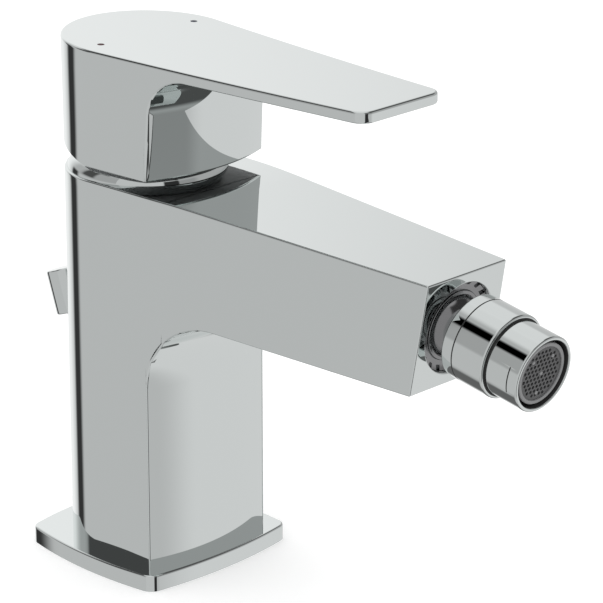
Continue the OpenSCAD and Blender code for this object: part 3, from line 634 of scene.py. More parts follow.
def panel_group():
    """Mask of a panel around a heading and a rise, built once and used by each panel."""
    group = bpy.data.node_groups.get("StudioPanel")
    if group:
        return group
    pairs = (("Heading", "Middle", "Half width"), ("Rise", "Height", "Half height"))
    group = add_group("StudioPanel", (*pairs[0], *pairs[1], "Softness"), "Mask")
    entry = group.nodes.new('NodeGroupInput').outputs
    inward = add_maths(group, 'MULTIPLY', entry["Softness"], -1.0)
    masks = []
    for direction, middle, half in pairs:
        away = add_maths(group, 'SUBTRACT', entry[direction], entry[middle])
        away = add_maths(group, 'ABSOLUTE', away)
        beyond = add_maths(group, 'SUBTRACT', away, entry[half])
        edge = add_node(group, 'ShaderNodeMapRange', {
            "Value": beyond, "From Min": inward, "From Max": entry["Softness"],
            "To Min": 1.0, "To Max": 0.0}, interpolation_type='SMOOTHSTEP')
        masks.append(edge.outputs["Result"])
    add_node(group, 'NodeGroupOutput', {"Mask": add_maths(group, 'MULTIPLY', *masks)})
    return group


# Colour, metallic, lowest and highest roughness, and scale of the grain. Beside the record's slots,
# underside_shade is painted shade: a dark matte coat on the lever's hollow underside.
FINISHES = {
    "chrome": ((0.755, 0.788, 0.782), 1.0, 0.008, 0.02, 60.0),
    "brass": ((0.78, 0.62, 0.34), 1.0, 0.2, 0.3, 400.0),
    "steel": ((0.6, 0.6, 0.61), 1.0, 0.2, 0.35, 600.0),
    "dark_steel": ((0.28, 0.28, 0.285), 1.0, 0.08, 0.16, 500.0),
    "grey_plastic": ((0.22, 0.222, 0.225), 0.0, 0.35, 0.45, 800.0),
    "dark_plastic": ((0.08, 0.08, 0.082), 0.0, 0.4, 0.5, 800.0),
    "underside_shade": ((0.2, 0.2, 0.205), 0.0, 0.4, 0.5, 800.0),
    "ceramic": ((0.85, 0.84, 0.8), 0.0, 0.2, 0.3, 300.0),
    "seal": ((0.03, 0.03, 0.03), 0.0, 0.6, 0.75, 500.0),
    "hot": ((0.07, 0.006, 0.012), 0.0, 0.5, 0.6, 300.0),
    "cold": ((0.012, 0.02, 0.05), 0.0, 0.5, 0.6, 300.0),
}


def finish_of(slot):
    """The procedural material of a slot, apart from the frame's plain one of the slot's name."""
    name = slot + "_finish"
    material = bpy.data.materials.get(name)
    if material:
        return material
    colour, metallic, low, high, scale = FINISHES[slot]
    material = bpy.data.materials.new(name)
    material.use_nodes = True
    tree = material.node_tree
    grain = add_node(
        tree, 'ShaderNodeGroup', {"Scale": scale, "Low": low, "High": high}, node_tree=grain_group())
    feed(tree, tree.nodes["Principled BSDF"], {
        "Base Color": (*colour, 1.0), "Metallic": metallic, "Roughness": grain.outputs["Value"]})
    return material


def paint(piece, slot):
    """Gives a piece the one material of its slot."""
    piece.data.materials.clear()
    piece.data.materials.append(finish_of(slot))


def coat(piece, slot, test):
    """Gives the faces whose middle and normal pass the test the finish of another slot."""
    piece.data.materials.append(finish_of(slot))
    for face in piece.data.polygons:
        if test(face.center, face.normal):
            face.material_index = len(piece.data.materials) - 1


def dress(piece, body, slot, *nodes):
    """Shades a finished piece, hangs it on its body and lets it stand for its CAD nodes."""
    keep(piece)
    bpy.ops.object.shade_smooth_by_angle(angle=SMOOTH)
    weights = piece.modifiers.new("Normals", 'WEIGHTED_NORMAL')
    weights.keep_sharp = True
    bpy.ops.object.modifier_apply(modifier=weights.name)
    paint(piece, slot)
    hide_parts(*nodes)
    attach(piece, body)


class MIXER_OT_base_plate(Operator):
    """Models the base plate"""

    bl_idname = "mixer.base_plate"
    bl_label = "Base plate"

    def execute(self, context):
        sizes = context.scene.mixer_plate
        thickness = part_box("base_plate")[1][2]
        points = self.plan(sizes)
        upper = rounded_rings(points, sizes.edge, lambda p: thickness, 4)
        plate = lofted("base_plate_form", [raised(points, 0.0)] + upper)
        middle = Matrix.Translation((0.0, -sizes.hose_way_ahead, 0.0))
        half = sizes.seal_groove_width / 2
        low = -MM
        groove = [
            (sizes.seal_groove - half, low), (sizes.seal_groove + half, low),
            (sizes.seal_groove + half, sizes.seal_groove_depth),
            (sizes.seal_groove - half, sizes.seal_groove_depth),
        ]
        cut(plate, rod(sizes.hose_way, low, thickness + MM, middle),
            turned("groove", groove, Matrix()))
        dress(plate, "mixer", "chrome", "base_plate")
        return {'FINISHED'}

    def plan(self, sizes):
        """Four bowed edges with round corners, counter-clockwise."""
        front_corner = Vector((sizes.half_front, sizes.bow - sizes.front))
        rear_corner = Vector((sizes.half_rear, sizes.rear - sizes.bow))
        chord = rear_corner - front_corner
        front_r = bow_radius(sizes.half_front, sizes.bow)
        rear_r = bow_radius(sizes.half_rear, sizes.bow)
        side_r = bow_radius(chord.length / 2, sizes.bow)
        outward = Vector((chord.y, -chord.x)).normalized()
        front = Vector((0.0, front_r - sizes.front))
        rear = Vector((0.0, sizes.rear - rear_r))
        side = (front_corner + rear_corner) / 2 + (sizes.bow - side_r) * outward
        r = sizes.corner
        first = self.crossing(side, side_r - r, front, front_r - r)
        second = self.crossing(rear, rear_r - r, side, side_r - r)
        a = self.heading(front, first)
        b = self.heading(side, first)
        c = self.heading(side, second)
        d = self.heading(rear, second)
        right = arc(front, front_r, -QUARTER_TURN, a, 12)
        right += arc(first, r, a, b, 12)[1:]
        right += arc(side, side_r, b, c, 24)[1:]
        right += arc(second, r, c, d, 12)[1:]
        right += arc(rear, rear_r, d, QUARTER_TURN, 12)[1:]
        return right + mirrored(right[1:-1])

    def crossing(self, a, a_r, b, b_r):
        """Point where two circles cross, to the right of the line from a to b."""
        gap = b - a
        along = (a_r * a_r - b_r * b_r + gap.length_squared) / (2 * gap.length)
        unit = gap.normalized()
        return a + along * unit + math.sqrt(a_r * a_r - along * along) * Vector((unit.y, -unit.x))

    def heading(self, centre, point):
        """Direction of a point from a centre."""
        return math.atan2(point.y - centre.y, point.x - centre.x)


class MIXER_OT_body(Operator):
    """Models the column with the spout"""

    bl_idname = "mixer.body"
    bl_label = "Body"

    def execute(self, context):
        sizes = context.scene.mixer_body
        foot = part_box("body")[0][2]
        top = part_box("body")[1][2]
        body = self.solid(sizes, foot, top)
        self.hollow(sizes, body, foot, top, context.scene.mixer_rod)
        axis = Vector((0.0, sizes.axis_back))
        middle, normal = self.face_plane(sizes, top)
        near = 1.05
        floor = top - 1.1 * sizes.pocket_depth

        def outer(point):
            behind = (point - middle).dot(normal)
            aside = (point - middle - behind * normal).length
            off_axis = (point.xy - axis).length
            in_socket = behind < -sizes.edge and aside < sizes.socket * near
            in_pocket = off_axis < sizes.nut_pocket * near and point.z > floor
            in_column = off_axis < sizes.half - 0.5 * sizes.wall and point.z < top - sizes.pocket_depth
            at_back = point.y > sizes.axis_back and point.z < top - sizes.edge
            return point.z > foot + sizes.edge and not (in_socket or in_pocket or in_column or at_back)

        ease(body, sizes.edge, outer)
        dress(body, "mixer", "chrome", "body")
        return {'FINISHED'}

    def face_plane(self, sizes, top):
        """Middle of the front face and its outward normal."""
        high = Vector((0.0, -sizes.reach, top - sizes.drop))
        low = high + Vector((0.0, sizes.face_height * math.tan(sizes.undercut), -sizes.face_height))
        normal = Vector((0.0, -math.cos(sizes.undercut), -math.sin(sizes.undercut)))
        return (high + low) / 2, normal

    def plan(self, sizes, wall=0.0):
        """Round back, straight sides and tapering spout, counter-clockwise."""
        corner_y = sizes.bow - sizes.front
        crease = math.atan2(sizes.half - sizes.tip_half, sizes.reach + corner_y)
        radius = sizes.side_blend / (2 * math.tan(crease / 2))
        tip = Vector((sizes.tip_half - wall, -sizes.reach))
        corner = Vector((sizes.half - wall, corner_y))
        back = Vector((sizes.half - wall, sizes.axis_back))
        right = [tip] + fillet(tip, corner, back, radius, 8)
        rear = arc((0.0, sizes.axis_back), sizes.half - wall, 0.0, math.pi, 96)
        return right + rear + mirrored(right)

    def solid(self, sizes, foot, top):
        """Plan drawn up, then trimmed by the top, the front face and the arched front."""
        points = self.plan(sizes)
        levels = 40
        heights = [foot + (top - foot) * level / levels for level in range(levels + 1)]
        body = lofted("body_form", [raised(points, height) for height in heights])
        slope = math.atan2(sizes.drop, sizes.reach - sizes.front)
        radius = sizes.top_blend / (2 * math.tan(slope / 2))
        start = Vector((0.0, sizes.top_blend / 2 - sizes.front, top))
        steps = 8
        for step in range(1, steps + 1):
            turn = slope * step / steps
            half = slope * (step - 0.5) / steps
            point = start + radius * Vector((0.0, -math.sin(half), math.cos(half) - 1.0))
            slice_off(body, point, Vector((0.0, -math.sin(turn), math.cos(turn))))
        middle, normal = self.face_plane(sizes, top)
        slice_off(body, middle, normal)
        bow_r = bow_radius(sizes.half, sizes.bow)
        bow_y = bow_r - sizes.front
        run = sizes.face_height * math.tan(sizes.undercut)
        low_y = run - sizes.reach
        low_z = top - sizes.drop - sizes.face_height
        arch_y = bow_y - bow_r - sizes.arch
        under = low_z + math.tan(sizes.under_tilt) * (arch_y - low_y)
        arch_z = under - sizes.arch / math.cos(sizes.under_tilt)
        below = -10 * MM
        profile = arch_profile(bow_r, sizes.arch, below, arch_z, sizes.under_tilt, FAR)
        half_sweep = math.radians(26.0)
        cut(body, swept("arch", profile, bow_y, half_sweep, 52))
        return body

    def hollow(self, sizes, body, foot, top, rod_sizes):
        """Pockets and bores that hold the inner pieces."""
        axis = Matrix.Translation((0.0, sizes.axis_back, 0.0))
        web = foot + sizes.web_rise
        turn = Matrix.Rotation(QUARTER_TURN + sizes.undercut, 4, 'X')
        face = Matrix.Translation(self.face_plane(sizes, top)[0]) @ turn
        ahead = 20 * MM
        front_y = sizes.wall - sizes.front + sizes.bow
        column = [p for p in self.plan(sizes, sizes.wall) if p.y > front_y]
        place = rod_place(rod_sizes)
        cutters = [
            rod(sizes.pocket, top - sizes.pocket_depth, top + MM, axis),
            rod(sizes.nut_pocket, top - sizes.nut_pocket_depth, top + MM, axis),
            rod(sizes.socket, -sizes.socket_depth, ahead, face, WIDE_SIDES),
            lofted("recess", [raised(column, foot - MM), raised(column, web)]),
            rod(rod_sizes.way, -rod_sizes.bush_foot, 0.0, place),
            rod(rod_sizes.bush, -2 * rod_sizes.bush_foot, -rod_sizes.bush_top, place),
        ]
        for side in (-1, 1):
            inlet = Matrix.Translation((side * sizes.inlet_x, sizes.inlet_back, 0.0))
            cutters.append(rod(sizes.inlet, web - MM, web + sizes.inlet_depth, inlet, SMALL_SIDES))
        stud = Matrix.Translation((0.0, -sizes.stud_ahead, 0.0))
        cutters.append(rod(sizes.stud, web - MM, web + sizes.stud_depth, stud, SMALL_SIDES))
        cut(body, *cutters)


class MIXER_OT_dome_ring(Operator):
    """Models the domed ring under the lever"""

    bl_idname = "mixer.dome_ring"
    bl_label = "Dome ring"

    def execute(self, context):
        sizes = context.scene.mixer_dome
        body = context.scene.mixer_body
        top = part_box("body")[1][2]
        centre = (sizes.middle, top - sizes.sink)
        inner = sizes.arc - sizes.sheet
        crown = sizes.height + sizes.sink
        roof = crown - sizes.sheet
        profile = arc(
            centre, sizes.arc, math.asin(sizes.sink / sizes.arc), math.asin(crown / sizes.arc), 16)
        profile.append(Vector((sizes.hole, centre[1] + crown)))
        profile.append(Vector((sizes.hole, centre[1] + roof)))
        profile += arc(centre, inner, math.asin(roof / inner), math.asin(sizes.sink / inner), 12)
        axis = Matrix.Translation((0.0, body.axis_back, 0.0))
        ring = turned("dome_ring_form", profile, axis, WIDE_SIDES)
        dress(ring, "mixer", "chrome", "dome_ring")
        return {'FINISHED'}


class MIXER_OT_lever(Operator):
    """Models the lever with its block, arch and paddle"""

    bl_idname = "mixer.lever"
    bl_label = "Lever"

    def execute(self, context):
        sizes = context.scene.mixer_lever
        axis_y = context.scene.mixer_body.axis_back
        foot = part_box("lever")[0][2]
        top = foot + sizes.height
        lever = self.solid(sizes, axis_y, foot, top)
        self.front(sizes, lever, foot, top)
        relief = Vector((0.0, math.sin(sizes.relief), -math.cos(sizes.relief)))
        slice_off(lever, Vector((0.0, axis_y, foot)), relief)
        ease(lever, sizes.edge, lambda point: point.y < axis_y)
        self.hollow(sizes, lever, axis_y, foot, top)
        dress(lever, "lever", "chrome", "lever")
        axis = Vector((0.0, axis_y))
        roof = foot + sizes.hollow_height + sizes.edge

        # Faces in the hollow and faces looking down at the foot, which get a dark matte coat as painted
        # shade
        def inner(point, normal):
            inside = (point.xy - axis).length < sizes.hollow + sizes.edge and point.z < roof
            faces_down = normal.z < -0.99
            return inside or (faces_down and point.z < foot + sizes.edge)

        # Painted shade: the hollow underside is coated dark and matte instead of chrome
        coat(lever, "underside_shade", inner)
        return {'FINISHED'}

    def solid(self, sizes, axis_y, foot, top):
        """Top plan drawn down to the foot's plan, with a rounded top edge."""
        plan, feet = self.plans(sizes, axis_y)
        upper = rounded_rings(plan, sizes.top_edge, lambda p: lever_top(sizes, top, p.y), 6)
        sides = list(zip(raised(feet, foot), upper[0]))
        steps = 6
        rings = [[low.lerp(high, step / steps) for low, high in sides] for step in range(steps)]
        lever = lofted("lever_form", rings + upper)
        self.strips(sizes, lever)
        return lever

    def strips(self, sizes, lever):
        """Cuts the top into strips, so that its gentle curve is shaded along its length."""
        strip = 4 * MM
        upward = 0.95
        for step in range(1, int((sizes.reach + sizes.half) / strip)):
            edit(lever, 'FACE')
            bpy.ops.mesh.select_all(action='DESELECT')
            mesh = bmesh.from_edit_mesh(lever.data)
            for face in mesh.faces:
                face.select_set(face.normal.z > upward)
            bmesh.update_edit_mesh(lever.data)
            bpy.ops.mesh.bisect(
                plane_co=(0.0, step * strip - sizes.reach, 0.0), plane_no=(0.0, 1.0, 0.0),
                threshold=HAIR)
            close()

    def plans(self, sizes, axis_y):
        """Outlines of the top and of the foot, counter-clockwise from the tip's right corner."""
        middle = Vector((0.0, -sizes.ahead))
        tip = Vector((sizes.tip_half - sizes.corner, sizes.corner - sizes.reach))
        run = tip - middle
        taper = math.acos((sizes.half - sizes.corner) / run.length) + math.atan2(run.y, run.x)
        corner = arc(tip, sizes.corner, -QUARTER_TURN, taper, 12)
        back = arc(middle, sizes.half, taper, QUARTER_TURN, 40)
        side = [corner[-1].lerp(back[0], step / 24) for step in range(1, 24)]
        foot_back = arc((0.0, axis_y), sizes.foot_half, 0.0, QUARTER_TURN, 40)
        first = corner[-1]
        last = back[0]
        front_y = sizes.bow - sizes.front
        front_x = first.lerp(last, (front_y - first.y) / (last.y - first.y)).x
        feet = []
        for point in corner + side:
            near = min(1.0, (last.y - point.y) / (last.y - front_y))
            half = sizes.foot_half + near * (sizes.foot_front - sizes.foot_half)
            beyond = min(0.0, point.x - front_x)
            feet.append(Vector((half + beyond, point.y + (1.0 - near) * (axis_y - last.y))))
        halves = (corner + side + back, feet + foot_back)
        return [right + mirrored(right[:-1]) for right in halves]

    def front(self, sizes, lever, foot, top):
        """Cuts the bowed front, the arch and the paddle's underside."""
        bow_r = bow_radius(sizes.block_half, sizes.bow)
        bow_y = bow_r - sizes.front
        arch_y = bow_y - bow_r - sizes.arch
        slope = math.tan(sizes.tilt)
        under = top - sizes.paddle / math.cos(sizes.tilt) + slope * arch_y
        arch_z = under - sizes.arch / math.cos(sizes.tilt)
        front = bow_r + (arch_z - foot) * math.tan(sizes.lean)
        below = foot - 5 * MM
        profile = arch_profile(front, sizes.arch, below, arch_z, sizes.tilt, FAR, sizes.lean)
        half_sweep = math.radians(40.0)
        cut(lever, swept("lever_arch", profile, bow_y, half_sweep, 80))

    def hollow(self, sizes, lever, axis_y, foot, top):
        """Cuts the hollow around the stem's boss, the screw's hole and the two dots."""
        axis = Matrix.Translation((0.0, axis_y, foot))
        half = sizes.stem_hole / 2
        room = [
            (0.0, -MM), (sizes.hollow, -MM), (sizes.hollow, sizes.hollow_height),
            (sizes.boss, sizes.hollow_height), (sizes.boss, sizes.boss_rise), (0.0, sizes.boss_rise),
        ]
        rise = Matrix.Translation((0.0, 0.0, sizes.screw_rise))
        screw = axis @ rise @ Matrix.Rotation(-QUARTER_TURN, 4, 'X')
        cutters = [
            turned("room", room, axis),
            block((-half, -half, 0.0), (half, half, sizes.stem_hole_height), axis),
            rod(sizes.screw_hole, half / 2, sizes.hollow - MM, screw, SMALL_SIDES),
            rod(sizes.cap_hole, sizes.hollow - MM, sizes.half + MM, screw, SMALL_SIDES),
        ]
        for side in (-1, 1):
            place = mark_place(sizes, top, side)
            cutters.append(rod(sizes.mark, -sizes.mark_depth, MM, place, SMALL_SIDES))
        cut(lever, *cutters)


class MIXER_OT_marks(Operator):
    """Models the hot and the cold dot in the lever's top"""

    bl_idname = "mixer.marks"
    bl_label = "Hot and cold dots"

    def execute(self, context):
        sizes = context.scene.mixer_lever
        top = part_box("lever")[0][2] + sizes.height
        radius = sizes.mark
        crown = sizes.mark_crown
        profile = softened(
            [
                (0.0, -sizes.mark_depth), (radius, -sizes.mark_depth),
                (radius, 0.0, 2 * crown), (0.0, crown),
            ], 4)
        for side, slot in ((-1, "hot"), (1, "cold")):
            place = mark_place(sizes, top, side)
            dot = turned(slot + "_mark_form", profile, place, SMALL_SIDES)
            dress(dot, "lever", slot, slot + "_mark")
        return {'FINISHED'}


class MIXER_OT_nozzle(Operator):
    """Models the ball, collar and sleeve of the nozzle"""

    bl_idname = "mixer.nozzle"
    bl_label = "Nozzle"

    def execute(self, context):
        sizes = context.scene.mixer_nozzle
        place = nozzle_place(sizes)
        socket = sizes.spigot + FIT
        start = math.asin(sizes.bore / sizes.ball)
        stop = math.acos(sizes.neck_at / sizes.ball)
        ball = arc((0.0, 0.0), sizes.ball, start - QUARTER_TURN, QUARTER_TURN - stop, 32)
        skin = softened(
            [
                ball[-1], (sizes.collar, sizes.collar_at, sizes.back_edge),
                (sizes.collar, sizes.line_at - sizes.line), (sizes.collar - sizes.line, sizes.line_at),
                (sizes.collar, sizes.line_at + sizes.line),
                (sizes.collar, sizes.collar_end, sizes.collar_edge), (sizes.step, sizes.collar_end),
                (sizes.step, sizes.step_end), (socket, sizes.step_end),
                (socket, sizes.washer_at), (sizes.bore, sizes.washer_at), ball[0],
            ])
        head = turned("nozzle_ball_form", ball[1:-1] + skin, place, WIDE_SIDES)
        dress(head, "nozzle", "chrome", "nozzle_ball")
        self.darken(sizes, place, head)
        tube = softened(
            [
                (sizes.spigot_bore, sizes.spigot_at), (sizes.spigot, sizes.spigot_at),
                (sizes.spigot, sizes.step_end), (sizes.sleeve, sizes.step_end, SMALL_EDGE),
                (sizes.sleeve, sizes.sleeve_end, sizes.rim_edge),
                (sizes.mouth, sizes.sleeve_end, SMALL_EDGE),
                (sizes.mouth, sizes.mouth_at), (sizes.bore_end, sizes.mouth_at),
                (sizes.bore_end, sizes.ledge_at), (sizes.spigot_bore, sizes.ledge_at),
            ], 8)
        sleeve = turned("nozzle_sleeve_form", tube, place, WIDE_SIDES)
        half = sizes.slit_width / 2
        wide = sizes.sleeve
        low = (-wide, wide - sizes.slit, sizes.slit_at - half)
        high = (wide, 2 * wide, sizes.slit_at + half)
        cut(sleeve, block(low, high, place @ Matrix.Rotation(sizes.slit_turn, 4, 'Z')))
        dress(sleeve, "nozzle", "chrome", "nozzle_sleeve")
        self.darken(sizes, place, sleeve)
        return {'FINISHED'}

    def darken(self, sizes, place, piece):
        """Coats the ball dark, blackens the fine joint line, and paints shade black in the groove, the
        slit and the mouth's inside.
        """
        back = place.inverted()

        def apart(point):
            local = back @ point
            return local.z, local.xy.length

        def on_ball(point, normal):
            station, radius = apart(point)
            return station < sizes.neck_at and radius < sizes.ball

        def in_shade(point, normal):
            station, radius = apart(point)
            on_line = abs(station - sizes.line_at) < sizes.line and radius > sizes.sleeve
            in_groove = sizes.collar_end - FINE < station < sizes.step_end + FINE
            in_slit = abs(station - sizes.slit_at) < sizes.slit_width and radius < sizes.sleeve - FINE
            in_mouth = station > sizes.mouth_at - FINE and radius < sizes.mouth + FINE
            below_rim = station < sizes.sleeve_end - sizes.rim_edge
            shallow = radius < sizes.sleeve + SMALL_EDGE
            return on_line or (in_groove and shallow) or in_slit or (in_mouth and below_rim)

        coat(piece, "dark_steel", on_ball)
        # The seal's black is painted shade in the groove, the slit and the mouth's inside; on the fine
        # joint line it is the line's own dark colour
        coat(piece, "seal", in_shade)


class MIXER_OT_retaining_nut(Operator):
    """Models the notched nut that holds the ball in the spout's face"""

    bl_idname = "mixer.retaining_nut"
    bl_label = "Retaining nut"

    def execute(self, context):
        sizes = context.scene.mixer_nozzle
        place = socket_place(context.scene.mixer_body)
        front = sizes.ball_depth - sizes.nut_recess
        inner = sizes.ball + FIT
        low = -sizes.nut_at
        start = math.asin(low / inner)
        stop = math.asin(front / inner)
        bowl = arc((0.0, 0.0), inner, stop, start, 12)
        lip = bowl[0].x + sizes.nut_lip
        face = softened(
            [
                (sizes.nut, low), (sizes.nut, front), (sizes.notch_foot, front - sizes.nut_dish),
                (lip, front - sizes.nut_dish, TINY_EDGE), (lip, front, SMALL_EDGE), bowl[0],
            ], 4)
        nut = turned("nozzle_nut_form", face + bowl[1:], place)
        half = sizes.notch_width / 2
        low_corner = (sizes.notch_foot, -half, front - sizes.notch_depth)
        cutters = []
        for notch in range(sizes.notches):
            turn = Matrix.Rotation(2.0 * math.pi * notch / sizes.notches, 4, 'Z')
            cutters.append(block(low_corner, (sizes.nut + MM, half, front + MM), place @ turn))
        cut(nut, joined(cutters))
        dress(nut, "mixer", "dark_steel", "nozzle_nut")
        return {'FINISHED'}


class MIXER_OT_aerator(Operator):
    """Models the aerator's ring and its mesh"""

    bl_idname = "mixer.aerator"
    bl_label = "Aerator"

    def execute(self, context):
        sizes = context.scene.mixer_nozzle
        place = nozzle_place(sizes)
        flange = sizes.bore_end + 0.3 * MM
        flare = sizes.mouth_at + 0.5 * MM
        rim_edge = 0.35 * MM
        profile = softened(
            [
                (sizes.core_bore, sizes.spigot_at), (flange, sizes.spigot_at), (flange, sizes.ledge_at),
                (sizes.core, sizes.ledge_at), (sizes.core, flare), (sizes.core_rim, flare),
                (sizes.core_rim, sizes.core_end, rim_edge), (sizes.mesh, sizes.core_end, TINY_EDGE),
                (sizes.mesh, sizes.mesh_at), (sizes.core_bore, sizes.mesh_at),
            ], 4)
        core = turned("aerator_core_form", profile, place)
        core = joined([core] + self.studs(sizes, place))
        dress(core, "nozzle", "grey_plastic", "aerator_core")
        mesh = self.mesh(sizes, place)
        dress(mesh, "nozzle", "dark_plastic", "aerator_mesh")
        return {'FINISHED'}

    def studs(self, sizes, place):
        """One stud in the middle and three around it, which show in the mesh."""
        high = sizes.core_end - 0.15 * MM
        low = sizes.mesh_at - MM
        profile = softened(
            [(0.0, low), (sizes.stud, low), (sizes.stud, high, TINY_EDGE), (0.0, high)], 3)
        spots = [Vector((0.0, 0.0, 0.0))]
        for degrees in (49.0, 134.0, 264.0):
            turn = math.radians(degrees)
            spots.append(sizes.stud_ring * Vector((math.cos(turn), math.sin(turn), 0.0)))
        return [turned("stud", profile, place @ Matrix.Translation(spot), 24) for spot in spots]

    def mesh(self, sizes, place):
        """Disc with six-sided holes in rows."""
        thick = sizes.mesh_thickness
        disc = [(0.0, 0.0), (sizes.mesh, 0.0), (sizes.mesh, thick), (0.0, thick)]
        mesh = turned("aerator_mesh_form", disc, Matrix())
        hole = (sizes.mesh_pitch - sizes.mesh_bar) / math.sqrt(3.0)
        reach = int(sizes.mesh / sizes.mesh_pitch) + 1
        pins = []
        for u in range(-2 * reach, 2 * reach + 1):
            for v in range(-reach, reach + 1):
                spot = sizes.mesh_pitch * Vector((u + v / 2, v * math.sqrt(3.0) / 2))
                if spot.length < sizes.mesh - hole - sizes.mesh_bar / 2:
                    turn = Matrix.Rotation(math.radians(30.0), 4, 'Z')
                    pin = rod(hole, -MM, 2 * MM, Matrix.Translation(spot.to_3d()) @ turn, 6)
                    pins.append(pin)
        cut(mesh, joined(pins))
        return put(mesh, place @ Matrix.Translation((0.0, 0.0, sizes.mesh_at)))


class MIXER_OT_pull_rod(Operator):
    """Models the pull rod and its knob"""

    bl_idname = "mixer.pull_rod"
    bl_label = "Pull rod"

    def execute(self, context):
        sizes = context.scene.mixer_rod
        place = rod_place(sizes)
        low = -sizes.rod_length
        edge = sizes.knob_edge
        bar = softened(
            [(0.0, low), (sizes.rod, low, edge), (sizes.rod, sizes.hold), (0.0, sizes.hold)])
        shaft = turned("pull_rod_form", bar, place, SMALL_SIDES)
        dress(shaft, "pull_rod", "chrome", "pull_rod")
        profile = softened(
            [
                (0.0, sizes.knob_length), (0.0, sizes.hold), (sizes.rod, sizes.hold), (sizes.rod, 0.0),
                (sizes.knob, 0.0, edge), (sizes.knob, sizes.knob_length, edge),
            ])
        knob = turned("rod_knob_form", profile, place)
        dress(knob, "pull_rod", "chrome", "rod_knob")
        return {'FINISHED'}


class MIXER_OT_screw_cap(Operator):
    """Models the cap over the lever's screw"""

    bl_idname = "mixer.screw_cap"
    bl_label = "Screw cap"

    def execute(self, context):
        low, high = (Vector(corner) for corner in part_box("screw_cap"))
        radius = (high.x - low.x) / 2
        depth = high.y - low.y
        place = Matrix.Translation((0.0, low.y, (low.z + high.z) / 2))
        place = place @ Matrix.Rotation(-QUARTER_TURN, 4, 'X')
        profile = softened(
            [(0.0, 0.0), (radius, 0.0), (radius, depth, SMALL_EDGE), (0.0, depth)])
        cap = turned("screw_cap_form", profile, place, SMALL_SIDES)
        dress(cap, "lever", "grey_plastic", "screw_cap")
        return {'FINISHED'}


class MIXER_OT_inner_pieces(Operator):
    """Gives the CAD pieces that stay as they are their materials"""

    bl_idname = "mixer.inner_pieces"
    bl_label = "Inner pieces"

    def execute(self, context):
        slots = {entry["node"]: entry["material_slot"] for entry in frame["record"]["subparts"]}
        for name, piece in frame["nodes"].items():
            paint(piece, slots[name])
        return {'FINISHED'}


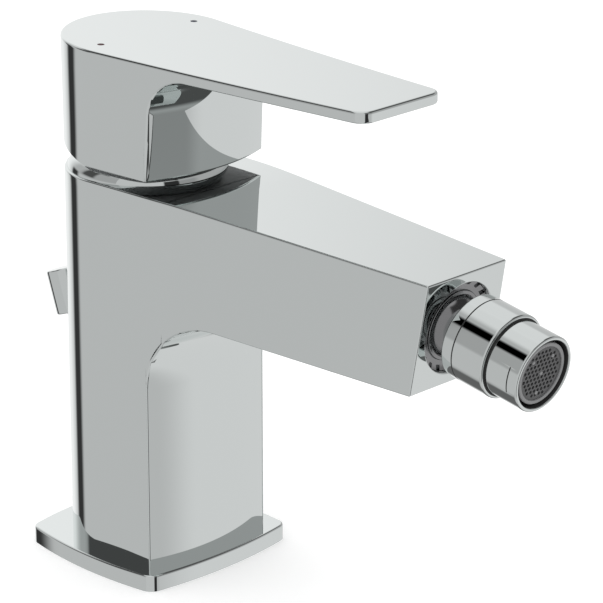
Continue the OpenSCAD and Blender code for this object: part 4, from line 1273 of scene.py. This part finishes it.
class MIXER_OT_stage(Operator):
    """Adds the floor, the light and the camera"""

    bl_idname = "mixer.stage"
    bl_label = "Stage"

    def execute(self, context):
        look = context.scene.mixer_studio
        context.scene.view_settings.view_transform = 'Standard'
        self.floor(look)
        self.light(look)
        self.camera(look)
        return {'FINISHED'}

    def floor(self, look):
        """Pale floor that keeps the shadow; reflections show the studio instead."""
        bpy.ops.mesh.primitive_plane_add(size=look.floor)
        floor = bpy.context.object
        floor.name = "floor"
        floor.visible_glossy = False
        white = (1.0, 1.0, 1.0, 1.0)
        material = bpy.data.materials.new("floor")
        material.use_nodes = True
        tree = material.node_tree
        path = tree.nodes.new('ShaderNodeLightPath')
        glow = add_maths(tree, 'MULTIPLY', path.outputs["Is Camera Ray"], look.floor_glow)
        feed(tree, tree.nodes["Principled BSDF"], {
            "Base Color": white, "Roughness": 1.0, "Specular IOR Level": 0.0,
            "Emission Color": white, "Emission Strength": glow})
        floor.data.materials.append(material)

    def camera(self, look):
        """Camera at the photograph's place."""
        camera = bpy.data.objects.new("camera", bpy.data.cameras.new("camera"))
        bpy.context.scene.collection.objects.link(camera)
        camera.location = look.camera
        camera.rotation_euler = (QUARTER_TURN - look.look_down, 0.0, look.heading)
        camera.data.sensor_width = 36.0
        camera.data.lens = look.lens
        camera.data.clip_end = 50.0
        bpy.context.scene.camera = camera

    def light(self, look):
        """White all around; reflections see the studio's light panels and the gaps between them."""
        world = bpy.data.worlds.new("studio")
        bpy.context.scene.world = world
        world.use_nodes = True
        world.cycles.sampling_method = 'NONE'
        tree = world.node_tree
        place = tree.nodes.new('ShaderNodeTexCoord').outputs["Generated"]
        axes = add_node(tree, 'ShaderNodeSeparateXYZ', {"Vector": place}).outputs
        turn = add_maths(tree, 'ARCTAN2', axes["Y"], axes["X"])
        lift = add_maths(tree, 'ARCSINE', axes["Z"])
        level = look.grey
        for name, left, right, low, high, soft, value in PANELS:
            mask = add_node(tree, 'ShaderNodeGroup', {
                "Heading": turn, "Rise": lift, "Softness": math.radians(soft),
                "Middle": math.radians((left + right) / 2),
                "Half width": math.radians((right - left) / 2),
                "Height": math.radians((low + high) / 2),
                "Half height": math.radians((high - low) / 2)},
                node_tree=panel_group(), label=name)
            inputs = {"Factor": mask.outputs["Mask"], "A": level, "B": value}
            level = add_node(tree, 'ShaderNodeMix', inputs).outputs["Result"]
        path = tree.nodes.new('ShaderNodeLightPath')
        inputs = {"Factor": path.outputs["Is Glossy Ray"], "A": 1.0, "B": level}
        seen = add_node(tree, 'ShaderNodeMix', inputs)
        feed(tree, tree.nodes["Background"], {
            "Color": seen.outputs["Result"], "Strength": look.white})


class MIXER_PT_pieces(Panel):
    """Lists the steps that build the mixer"""

    bl_idname = "MIXER_PT_pieces"
    bl_label = "Mixer"
    bl_space_type = 'VIEW_3D'
    bl_region_type = 'UI'
    bl_category = "Mixer"

    def draw(self, context):
        for step in STEPS:
            self.layout.operator(step.bl_idname)


SIZES = {
    "mixer_plate": PlateSizes,
    "mixer_body": BodySizes,
    "mixer_lever": LeverSizes,
    "mixer_dome": DomeSizes,
    "mixer_nozzle": NozzleSizes,
    "mixer_rod": RodSizes,
    "mixer_studio": StudioLook,
}
STEPS = (
    MIXER_OT_base_plate, MIXER_OT_body, MIXER_OT_dome_ring, MIXER_OT_lever, MIXER_OT_marks,
    MIXER_OT_nozzle, MIXER_OT_retaining_nut, MIXER_OT_aerator, MIXER_OT_pull_rod, MIXER_OT_screw_cap,
    MIXER_OT_inner_pieces, MIXER_OT_stage,
)


def register():
    for name, group in SIZES.items():
        bpy.utils.register_class(group)
        setattr(bpy.types.Scene, name, PointerProperty(type=group))
    for step in STEPS:
        bpy.utils.register_class(step)
    bpy.utils.register_class(MIXER_PT_pieces)


def unregister():
    bpy.utils.unregister_class(MIXER_PT_pieces)
    for step in reversed(STEPS):
        bpy.utils.unregister_class(step)
    for name, group in SIZES.items():
        delattr(bpy.types.Scene, name)
        bpy.utils.unregister_class(group)


def main():
    register()
    bpy.ops.mixer.base_plate()
    bpy.ops.mixer.body()
    bpy.ops.mixer.dome_ring()
    bpy.ops.mixer.lever()
    bpy.ops.mixer.marks()
    bpy.ops.mixer.nozzle()
    bpy.ops.mixer.retaining_nut()
    bpy.ops.mixer.aerator()
    bpy.ops.mixer.pull_rod()
    bpy.ops.mixer.screw_cap()
    bpy.ops.mixer.inner_pieces()
    bpy.ops.mixer.stage()


if __name__ == "__main__":
    main()
